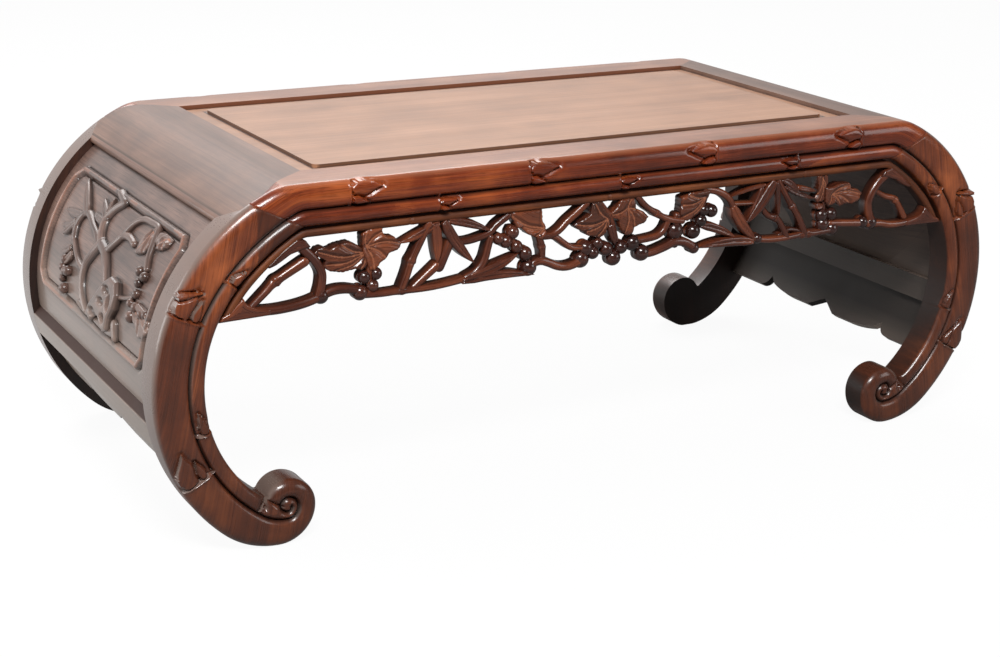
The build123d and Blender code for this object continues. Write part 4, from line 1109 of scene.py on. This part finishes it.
VINE_LEAVES = [
    # level, heart, corners, lobes
    (-7, (-301, 298), [
        (-358, 303), (-353, 308), (-347, 309), (-341, 306), (-334, 309), (-327, 310), (-319, 311),
            (-311, 307),
        (-304, 301), (-299, 293), (-300, 286), (-304, 281), (-308, 280), (-313, 283), (-321, 282),
            (-327, 281),
        (-334, 282), (-341, 284), (-348, 289), (-345, 295),
    ], [(-347, 290), (-352, 304), (-328, 309), (-334, 283), (-307, 281)]),
    (-7, (-301, 304), [
        (-305, 317), (-299, 322), (-283, 322), (-282, 316), (-279, 312), (-270, 311), (-266, 307),
            (-260, 303),
        (-266, 297), (-276, 295), (-278, 289), (-285, 287), (-291, 278), (-297, 280), (-300, 288),
            (-304, 298),
    ], [(-262, 303), (-282, 318), (-279, 290), (-292, 280), (-300, 320)]),
    (-7.5, (-94, 300), [
        (-140, 321), (-131, 312), (-127, 304), (-121, 303), (-114, 296), (-104, 291), (-97, 288),
            (-92, 294),
        (-92, 302), (-96, 308), (-97, 321),
    ], [(-136, 319), (-120, 304), (-104, 292), (-98, 319)]),
    (-7, (-15, 301), [
        (-36, 321), (-26, 322), (-22, 315), (-17, 309), (-11, 302), (-12, 294), (-16, 289),
            (-20, 285),
        (-26, 281), (-32, 284), (-40, 286), (-44, 290), (-52, 294), (-58, 299), (-50, 303),
            (-44, 306), (-38, 309),
    ], [(-55, 299), (-31, 319), (-42, 290), (-27, 284), (-15, 291)]),
    (-7, (10, 311), [
        (-11, 303), (-12, 307), (-5, 313), (0, 321), (17, 322), (19, 314), (21, 308), (30, 305),
            (38, 298),
        (32, 292), (25, 291), (19, 287), (17, 282), (10, 280), (4, 284), (0, 292), (-2, 299),
    ], [(35, 298), (20, 289), (8, 283), (-9, 305), (14, 320)]),
    (-7, (112, 312), [
        (80, 315), (92, 319), (118, 321), (115, 311), (110, 301), (103, 295), (98, 292), (89, 288),
            (82, 290),
        (79, 297), (80, 306),
    ], [(82, 292), (81, 306), (97, 294), (90, 317)]),
    (-8, (276, 318), [
        (267, 321), (282, 321), (283, 311), (281, 301), (281, 293), (276, 289), (270, 289),
            (266, 295),
        (270, 299), (270, 308),
    ], [(274, 291), (268, 296), (281, 296)]),
    (-7, (290, 297), [
        (280, 306), (290, 306), (300, 309), (315, 308), (317, 301), (326, 300), (336, 294),
            (329, 286), (318, 283),
        (309, 285), (303, 282), (296, 287), (286, 283), (281, 289),
    ], [(333, 293), (312, 305), (316, 285), (303, 285), (287, 286)]),
]
BERRIES = [
    # radius, place
    (6.5, (-349, 258)), (5.5, (-302, 272)), (5.2, (-289, 274)), (5.5, (-293, 262)),
        (6.5, (-306, 256)),
    (5.5, (-139, 290)), (5.8, (-131, 299)), (5.5, (-126, 283)), (6.2, (-115, 274)),
        (7.5, (-110, 258)),
    (5.0, (-148, 294)), (5.2, (-26, 275)), (5.5, (-31, 265)), (7.5, (-45, 259)), (6.8, (-40, 271)),
    (6.2, (-14, 267)), (7.0, (-4, 256)), (6.0, (5, 267)), (7.0, (20, 270)), (7.2, (33, 257)),
    (8.5, (76, 277)), (5.4, (112, 297)), (5.8, (123, 295)), (6.0, (109, 285)), (7.0, (100, 274)),
    (5.0, (101, 255)), (4.5, (188, 256)), (6.4, (279, 273)), (6.0, (293, 273)), (6.8, (282, 262)),
    (6.6, (296, 255)), (6.8, (354, 256)), (5.5, (341, 258)),
]
print("apron:", len(STEMS), "stems,", len(BLADES), "blades,")
print(len(VINE_LEAVES), "vine leaves and", len(BERRIES), "berries")

# %% Cut the apron
apron = Carving()
edge, strip_edge = inner_line(75.0, 3.5), inner_line(73.5, 12.0)
level_line = np.vstack([edge[::-1] * [-1, 1], edge[1:]])
under_line = np.vstack([strip_edge[::-1] * [-1, 1], strip_edge[1:]])
low_level = RAIL_UNDER - 88.0
strip = np.vstack([line[line[:, 1] > low_level + 5] for line in (level_line, under_line[::-1])])
STRIP_NODES = [-250.0, -14.0, 248.0]


def strip_face(points, edge):
    height = -7.0 - 0.9 - fall(edge, 4.2, 3.2)
    for place in STRIP_NODES:
        height = height + ring(points, (place, 320), (place, 330), 1.0)
    return height


strip_flat, strip_faces = relief(even(strip, 1.6), strip_face, APRON_BACK, 1.5, (0.25, 0.9, 1.9))
strip_distance, strip_along = reach(strip_flat[:, :2], level_line)
strip_grain = np.column_stack([strip_along, strip_distance, strip_flat[:, 2]])
# Painted shade: darker the further the strip's face falls back.
strip_shade = np.clip((-9.5 - strip_flat[:, 2]) / 4.0, 0, 1)
CORNER_BLOCKS = [
    [(459, 246), (405, 247), (404, 253), (420, 256.5), (429, 261), (433, 268), (440, 262), (447, 255),
        (456, 251)],
    [(366, 318), (361, 311), (372, 309), (383, 306), (391, 301), (398, 297), (405, 294.5), (408, 296),
        (392, 310), (376, 321)],
]
for side in (-1, 1):
    for outline in CORNER_BLOCKS:
        apron.block(-7.6, [(side * x, z) for x, z in outline])
for width, level, points, nodes in STEMS:
    apron.stem(width, level, points, nodes)
for width, level, base, tip, bend in BLADES:
    apron.blade(width, level, base, tip, bend)
for level, heart, corners, lobes in VINE_LEAVES:
    apron.vine_leaf(level, heart, corners, lobes)
PLUMP = 1.3
turn = np.linspace(0, 2 * math.pi, 18, endpoint=False)
for radius, (x, z) in BERRIES:
    circle = [x + radius * PLUMP * np.cos(turn), z + radius * PLUMP * np.sin(turn)]
    apron.block(-12.0 - radius * 0.5, np.column_stack(circle))
apron_flat, apron_faces, apron_grain, apron_cut = apron.arrays()
four_ways(
    "{}_apron_strip", to_front(strip_flat), strip_faces, strip_grain, strip_shade, strip_wood,
    "carved_wood", FRONT_AND_REAR,
)
print("apron relief:", len(apron_flat), "vertices", apron_flat.min(0), apron_flat.max(0))
four_ways(
    "carved_{}_apron", to_front(apron_flat), apron_faces, apron_grain, apron_cut, apron_wood,
    "carved_wood", FRONT_AND_REAR,
)

# %% [markdown]
# The grapes repeat: the same round berry in a few sizes. That is a job for Geometry Nodes. A mesh of
# single points says where each berry is and how large, one sphere is instanced on them, and the
# result is made real before it becomes a plain mesh.

# %% Grapes by Geometry Nodes
def berry_tree():
    tree = bpy.data.node_groups.new("grapes", "GeometryNodeTree")
    tree.interface.new_socket("Geometry", in_out="INPUT", socket_type="NodeSocketGeometry")
    segments = tree.interface.new_socket("Segments", in_out="INPUT", socket_type="NodeSocketInt")
    finish = tree.interface.new_socket("Finish", in_out="INPUT", socket_type="NodeSocketMaterial")
    tree.interface.new_socket("Geometry", in_out="OUTPUT", socket_type="NodeSocketGeometry")
    nodes, link = tree.nodes, tree.links.new
    start, end = nodes.new("NodeGroupInput"), nodes.new("NodeGroupOutput")
    ball = nodes.new("GeometryNodeMeshUVSphere")
    ball.inputs["Radius"].default_value = 1.0
    size = nodes.new("GeometryNodeInputNamedAttribute")
    size.data_type = "FLOAT"
    size.inputs["Name"].default_value = "radius"
    place = nodes.new("GeometryNodeInstanceOnPoints")
    real = nodes.new("GeometryNodeRealizeInstances")
    smoothed = nodes.new("GeometryNodeSetShadeSmooth")
    coat = nodes.new("GeometryNodeSetMaterial")
    link(start.outputs["Segments"], ball.inputs["Segments"])
    link(start.outputs["Segments"], ball.inputs["Rings"])
    link(start.outputs["Geometry"], place.inputs["Points"])
    link(ball.outputs["Mesh"], place.inputs["Instance"])
    link(size.outputs["Attribute"], place.inputs["Scale"])
    link(place.outputs["Instances"], real.inputs["Geometry"])
    link(real.outputs["Geometry"], smoothed.inputs["Geometry"])
    link(smoothed.outputs["Geometry"], coat.inputs["Geometry"])
    link(start.outputs["Finish"], coat.inputs["Material"])
    link(coat.outputs["Geometry"], end.inputs["Geometry"])
    return tree, segments.identifier, finish.identifier


GRAPES, SEGMENTS_INPUT, FINISH_INPUT = berry_tree()


def grapes(name, places, radii, segments, finish):
    """Berries on points in millimetres, as a plain mesh."""
    points = bpy.data.meshes.new(name + "_points")
    points.from_pydata((np.array(places) * MM).tolist(), [], [])
    layer = points.attributes.new("radius", "FLOAT", "POINT")
    layer.data.foreach_set("value", np.array(radii) * MM)
    made = bpy.data.objects.new(name, points)
    bpy.context.scene.collection.objects.link(made)
    modifier = made.modifiers.new("grapes", "NODES")
    modifier.node_group = GRAPES
    modifier[SEGMENTS_INPUT], modifier[FINISH_INPUT] = segments, finish
    seen = made.evaluated_get(bpy.context.evaluated_depsgraph_get())
    mesh = bpy.data.meshes.new_from_object(seen)
    made.modifiers.clear()
    made.data = mesh
    return made


grape_wood = rosewood(
    "rosewood_grapes", EBONY, (0.045, 0.013, 0.009), (0.12, 0.032, 0.016), roughness=0.2, coat=0.6,
)
radii = [radius * PLUMP for radius, _ in BERRIES]
for end, _, sign in FRONT_AND_REAR:
    places = [(x, sign * (FRONT + 7.0 + radius * PLUMP), z) for radius, (x, z) in BERRIES]
    made = grapes("carved_" + end + "_grapes", places, radii, 20, grape_wood)
    finish_piece(made, slot="carved_wood")

# %% [markdown]
# The two ends are panels bent round the same arc as the legs. A bead frames each, and inside it an old
# vine grows beside a pierced garden rock, with bamboo leaves and strings of grapes. The reliefs are
# drawn flat, with the way round the bow as their height, and then bent on to the panel.

# %% Draw the end panel
PANEL_RADIUS = BOW_RADIUS - 9.0
ARC = math.radians(1) * BOW_RADIUS


def frame_line():
    """The middle of the bead: a rectangle with cut corners."""
    corner = 12.0
    half, top, bottom = 171.0, -47.2 * ARC, -86.5 * ARC
    return even(np.array([
        (-half + corner, top), (half - corner, top), (half, top - corner), (half, bottom + corner),
        (half - corner, bottom), (-half + corner, bottom), (-half, bottom + corner),
            (-half, top - corner),
    ]), 2.0)


FRAME_LINE = frame_line()


BEAD_HALF_WIDTH, BEAD_HEIGHT, BEAD_GROOVE = 4.2, 4.4, 5.4


def frame_face(points):
    """The panel's face: a rounded bead frame, a low field inside it, and a groove on both sides."""
    away = reach(points, closed(FRAME_LINE))[0]
    field = inside(points, FRAME_LINE)
    bead = BEAD_HEIGHT * np.sqrt(np.clip(1 - (away / BEAD_HALF_WIDTH) ** 2, 0, 1))
    shadow = 2.0 * np.exp(-((away - BEAD_GROOVE) / 1.2) ** 2)
    return bead - shadow - np.where(field, 1.0, 0.0) * np.clip(away / 4, 0, 1)


def upward(points):
    """Places drawn with the way down the bow, as (across, up)."""
    return np.array(points, float) * [1, -1]


def bend(vertices, side):
    """From (across, along the bow, height) to the end of the table on that side."""
    turn = -vertices[:, 1] / BOW_RADIUS
    radius = PANEL_RADIUS + vertices[:, 2]
    x = side * (BOW_X + radius * np.sin(turn))
    return np.column_stack([x, side * vertices[:, 0], BOW_Z + radius * np.cos(turn)])


SIDE_STEMS = [
    # width, height, points along the panel (across, way down the bow)
    ((9, 9.5), 5.5, [(-36, 172), (-11, 178)]),
    ((9.5, 12), 5.5, [(-11, 178), (-24, 190), (-30, 205), (-24, 220), (-12, 232)]),
    ((13, 7), 6.0, [(-12, 230), (-24, 246), (-34, 262), (-32, 282), (-20, 298), (-6, 308)]),
    ((12, 10), 6.0, [(-10, 231), (8, 236), (24, 247), (38, 262), (44, 270)]),
    ((7, 8), 5.0, [(-14, 236), (-32, 226), (-52, 220), (-78, 212), (-92, 216), (-97, 230),
        (-90, 246)]),
    ((5, 5), 4.5, [(-88, 246), (-72, 256), (-56, 264), (-38, 268)]),
    ((8, 7), 5.0, [(12, 232), (24, 218), (34, 208), (50, 206), (66, 209)]),
    ((6, 6), 5.0, [(34, 206), (42, 190), (56, 181), (76, 179), (98, 180), (108, 196), (116, 212),
        (124, 222)]),
    ((4, 4), 4.0, [(84, 266), (100, 262), (118, 256)]),
    ((5, 9), 4.5, [(-36, 306), (-10, 309), (18, 308), (60, 309), (84, 306)]),
]
SIDE_BLADES = [
    (12, 4.6, (-78, 214), (-134, 178)), (10, 4.0, (-92, 218), (-146, 222)), (11, 4.4, (-100, 226),
        (-126, 250)),
    (11, 4.4, (-24, 206), (-62, 186)), (9, 4.2, (-26, 204), (-40, 180)), (9, 4.0, (-28, 210),
        (-66, 206)),
    (10, 4.2, (-88, 256), (-114, 266)), (10, 4.2, (-78, 260), (-104, 280)), (9, 4.0, (-98, 232),
        (-140, 240)),
]
SIDE_LEAVES = [
    ((92, 186), [(76, 214), (82, 200), (88, 184), (98, 180), (108, 190), (106, 204), (96, 212),
        (84, 216)], [(80, 212), (98, 208), (106, 194)]),
    ((126, 186), [(110, 182), (124, 180), (142, 181), (140, 192), (130, 198), (118, 200),
        (112, 192)], [(140, 184), (132, 196), (116, 198)]),
    ((150, 266), [(126, 262), (140, 256), (160, 258), (176, 266), (180, 276), (172, 284),
        (156, 288), (150, 280), (138, 276)], [(176, 272), (158, 284), (136, 266)]),
]
SIDE_BERRIES = [
    (5.5, (113, 228)), (5.5, (129, 230)), (5.2, (121, 239)), (5.0, (125, 250)), (4.8, (118, 262)),
        (5.5, (134, 262)),
    (6.5, (128, 274)), (4.8, (152, 264)), (4.6, (162, 262)), (5.5, (-96, 272)), (5.5, (-88, 284)),
        (6.0, (-80, 282)),
    (5.0, (-94, 294)), (6.2, (-86, 304)), (5.5, (-98, 282)),
]
ROCK = [
    (4, 306), (12, 292), (28, 276), (42, 260), (58, 250), (76, 252), (86, 264), (84, 280), (76, 292),
    (74, 306), (62, 311), (46, 300), (34, 298), (22, 311),
]
ROCK_HOLES = [
    ((56, 266), 9, 4), ((48, 281), 9, 4), ((70, 277), 5, 9), ((26, 298), 9, 4.5), ((60, 296), 6, 5),
]


def rock_face(points, edge):
    height = 8.0 - fall(edge, 5.0, 4.5)
    for (across, way), wide, tall in ROCK_HOLES:
        away = np.hypot((points[:, 0] - across) / wide, (points[:, 1] + way) / tall)
        height = height - 5.0 * np.exp(-away ** 4)
    return height


SIDE_BACK = -2.0


def side_carving():
    """The panel and everything carved on it, drawn flat."""
    made = Carving()
    bound = np.array([(-197, -38.2 * ARC), (197, -38.2 * ARC), (197, -97.6 * ARC), (-197, -97.6 * ARC)])
    vertices, faces = relief(
        even(bound, 3.0), lambda points, edge: frame_face(points), -12.0, 1.9, (0.3, 1.0),
    )
    made.add(vertices, faces, np.array([(-200.0, -200.0), (200.0, -200.0)]), -1.0, 9.0)
    made.grain[0] = vertices
    away = reach(vertices[:, :2], closed(FRAME_LINE))[0]
    # Painted shade beside the bead and on the back, and a painted highlight on the bead's top.
    shade_beside_bead = 0.8 * np.exp(-((away - BEAD_GROOVE) / 1.3) ** 2)
    on_bead, at_back = vertices[:, 2] > 2.6, vertices[:, 2] < -9
    made.cut[0] = np.where(at_back, 0.2, np.where(on_bead, -0.5, shade_beside_bead))
    for width, level, points in SIDE_STEMS:
        made.stem(np.array(width) * 1.3, level + 0.8, upward(points), back=SIDE_BACK)
    for width, level, base, tip in SIDE_BLADES:
        made.blade(width, level, upward(base), upward(tip), 1.5, back=SIDE_BACK)
    for heart, corners, lobes in SIDE_LEAVES:
        made.vine_leaf(5.0, upward(heart), upward(corners), upward(lobes), back=SIDE_BACK)
    rock = even(upward(ROCK), 1.4)
    made.outlines.append(rock)
    made.add(*relief(rock, rock_face, SIDE_BACK, 1.3), closed(rock), 8.0, 4.0)
    made.stem((12, 9), 6.5, [(84, -296), (90, -310)], back=SIDE_BACK)
    # Painted shade on the field close to the carving.
    made.cut[0] = made.shade_near_carving(made.vertices[0], made.cut[0])
    return made.arrays()


# %% Bend it on to the ends of the table
side_grape_wood = rosewood(
    "rosewood_side_grapes", (0.03, 0.016, 0.012), (0.10, 0.055, 0.042), (0.20, 0.115, 0.09), coat=0.3,
)
side_flat, side_faces, side_grain, side_cut = side_carving()
spots = np.array([(a, -s, radius * 0.3) for radius, (a, s) in SIDE_BERRIES])
radii = [radius for radius, _ in SIDE_BERRIES]
for end, side in (("left", -1), ("right", 1)):
    bent = bend(side_flat, side)
    made = piece("carved_" + end + "_panel", bent, side_faces, side_wood, side_grain, side_cut)
    finish_piece(made, end + "_side_panel", slot="side_wood")
    made = grapes("carved_" + end + "_panel_grapes", bend(spots, side), radii, 16, side_grape_wood)
    finish_piece(made, slot="side_wood")

# %% [markdown]
# The plain boards keep the joiner's solids and only take their finish.

# %% Plain boards
PLAIN = {
    top_wood: ["top_panel"],
    lower_wood: ["left_lower_rail", "right_lower_rail"],
    skirt_wood: ["left_skirt", "right_skirt"],
    shaded_inside_wood: ["top_batten_left", "top_batten_middle", "top_batten_right", "corner_pegs"],
}
for wood, names in PLAIN.items():
    for name in names:
        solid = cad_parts[name]
        for slot in solid.material_slots:
            slot.material = wood
print("boards finished:", sum(len(names) for names in PLAIN.values()))

# %% [markdown]
# A plain white studio: a floor that is white to the camera and keeps a faint shadow, a broad lamp
# behind and above for the sheen on the top, a softer one in front, and a weak one at each end.

# %% Stage, lamps and camera
def studio_white(name, shade):
    """White to the camera, with a share of real shading that keeps the shadow. What a polished piece
    mirrors is bright behind the table and dim in front of it."""
    finish = Finish(name)
    camera, glossy, clear = [
        finish.node("ShaderNodeLightPath", output=kind)
        for kind in ("Is Camera Ray", "Is Glossy Ray", "Is Transmission Ray")
    ]
    x, y, _ = finish.split(finish.object_place())
    bright = finish.graded(y * 0.8 - x * 0.6, 0.0, 0.8, 0.04, 0.95)
    seen = camera.math("MAXIMUM", clear).math("MAXIMUM", glossy * bright)
    own = camera * 0.7 + 0.2
    tone = finish.node("ShaderNodeCombineColor", None, {0: own, 1: own, 2: own})
    plain = finish.node("ShaderNodeBsdfDiffuse", None, {"Color": tone})
    glow = finish.node("ShaderNodeEmission", None, {"Color": (1, 1, 1, 1), "Strength": 1.0})
    inputs = {0: seen * (1 - shade), 1: plain, 2: glow}
    return finish.surface(finish.node("ShaderNodeMixShader", None, inputs))


FLOOR_HALF = 12.0


def add_floor():
    mesh = bpy.data.meshes.new("studio_floor")
    corners = [(x * FLOOR_HALF, y * FLOOR_HALF, 0) for x, y in ((-1, -1), (1, -1), (1, 1), (-1, 1))]
    mesh.from_pydata(corners, [], [(0, 1, 2, 3)])
    mesh.materials.append(studio_white("studio_white", 0.06))
    floor = bpy.data.objects.new("studio_floor", mesh)
    bpy.context.scene.collection.objects.link(floor)


def add_lamp(name, place, aim, size, power):
    data = bpy.data.lights.new(name, "AREA")
    data.shape, data.size, data.size_y, data.energy = "RECTANGLE", size[0], size[1], power
    lamp = bpy.data.objects.new(name, data)
    lamp.location = place
    lamp.rotation_euler = (Vector(aim) - Vector(place)).to_track_quat("-Z", "Y").to_euler()
    bpy.context.scene.collection.objects.link(lamp)


def add_world():
    """White to the camera, and a room that is bright behind the table and dim in front of it."""
    world = bpy.data.worlds.new("studio_world")
    bpy.context.scene.world = world
    world.use_nodes = True
    nodes, links = world.node_tree.nodes, world.node_tree.links
    path, place = nodes.new("ShaderNodeLightPath"), nodes.new("ShaderNodeTexCoord")
    behind, level = nodes.new("ShaderNodeMapRange"), nodes.new("ShaderNodeMix")
    backdrop = nodes["Background"]
    backdrop.inputs["Color"].default_value = (1, 1, 1, 1)
    behind.inputs[1].default_value, behind.inputs[2].default_value = -0.5, 0.9
    behind.inputs[3].default_value, behind.inputs[4].default_value = 0.10, 0.9
    level.inputs[3].default_value = 1.0
    toward = nodes.new("ShaderNodeVectorMath")
    toward.operation = "DOT_PRODUCT"
    toward.inputs[1].default_value = (-0.45, 0.9, 0.0)
    links.new(place.outputs["Generated"], toward.inputs[0])
    links.new(toward.outputs["Value"], behind.inputs[0])
    links.new(path.outputs["Is Camera Ray"], level.inputs[0])
    links.new(behind.outputs[0], level.inputs[2])
    links.new(level.outputs[0], backdrop.inputs["Strength"])


CAMERA_PLACE = (-1.058411, -1.827326, 0.801791)
CAMERA_TURN, CAMERA_LENS = (0.51797, 0.31718, 0.0232), 66.203


def add_camera():
    """The camera stands off the front left corner. Its turn is a yaw, a pitch and a roll."""
    yaw, pitch, roll = CAMERA_TURN
    level = math.cos(pitch)
    ahead = Vector((math.sin(yaw) * level, math.cos(yaw) * level, -math.sin(pitch)))
    right = Vector((math.cos(yaw), -math.sin(yaw), 0))
    above = right.cross(ahead)
    level_right = right * math.cos(roll) + above * math.sin(roll)
    level_above = above * math.cos(roll) - right * math.sin(roll)
    data = bpy.data.cameras.new("camera")
    data.lens, data.sensor_width, data.clip_end = CAMERA_LENS, 36.0, 60.0
    camera = bpy.data.objects.new("camera", data)
    turn = Matrix((level_right, level_above, -ahead)).transposed().to_4x4()
    camera.matrix_world = Matrix.Translation(CAMERA_PLACE) @ turn
    bpy.context.scene.collection.objects.link(camera)
    bpy.context.scene.camera = camera


LAMPS = [
    # name, place, aim, size and power
    ("back_lamp", (0.4, 2.4, 2.6), (0, 0, 0.3), (3.0, 1.4), 70),
    ("front_lamp", (-1.0, -1.9, 2.2), (0.1, 0, 0.2), (1.0, 0.6), 82),
    ("side_lamp", (-2.4, 0.9, 0.7), (-0.3, 0, 0.2), (1.6, 1.2), 22),
    ("right_lamp", (1.7, -1.7, 0.9), (0.45, -0.2, 0.25), (1.0, 0.8), 8),
]
add_floor()
add_world()
add_camera()
for lamp in LAMPS:
    add_lamp(*lamp)
bpy.context.scene.view_settings.view_transform = "Standard"
print("camera at", [round(v, 3) for v in bpy.context.scene.camera.location])
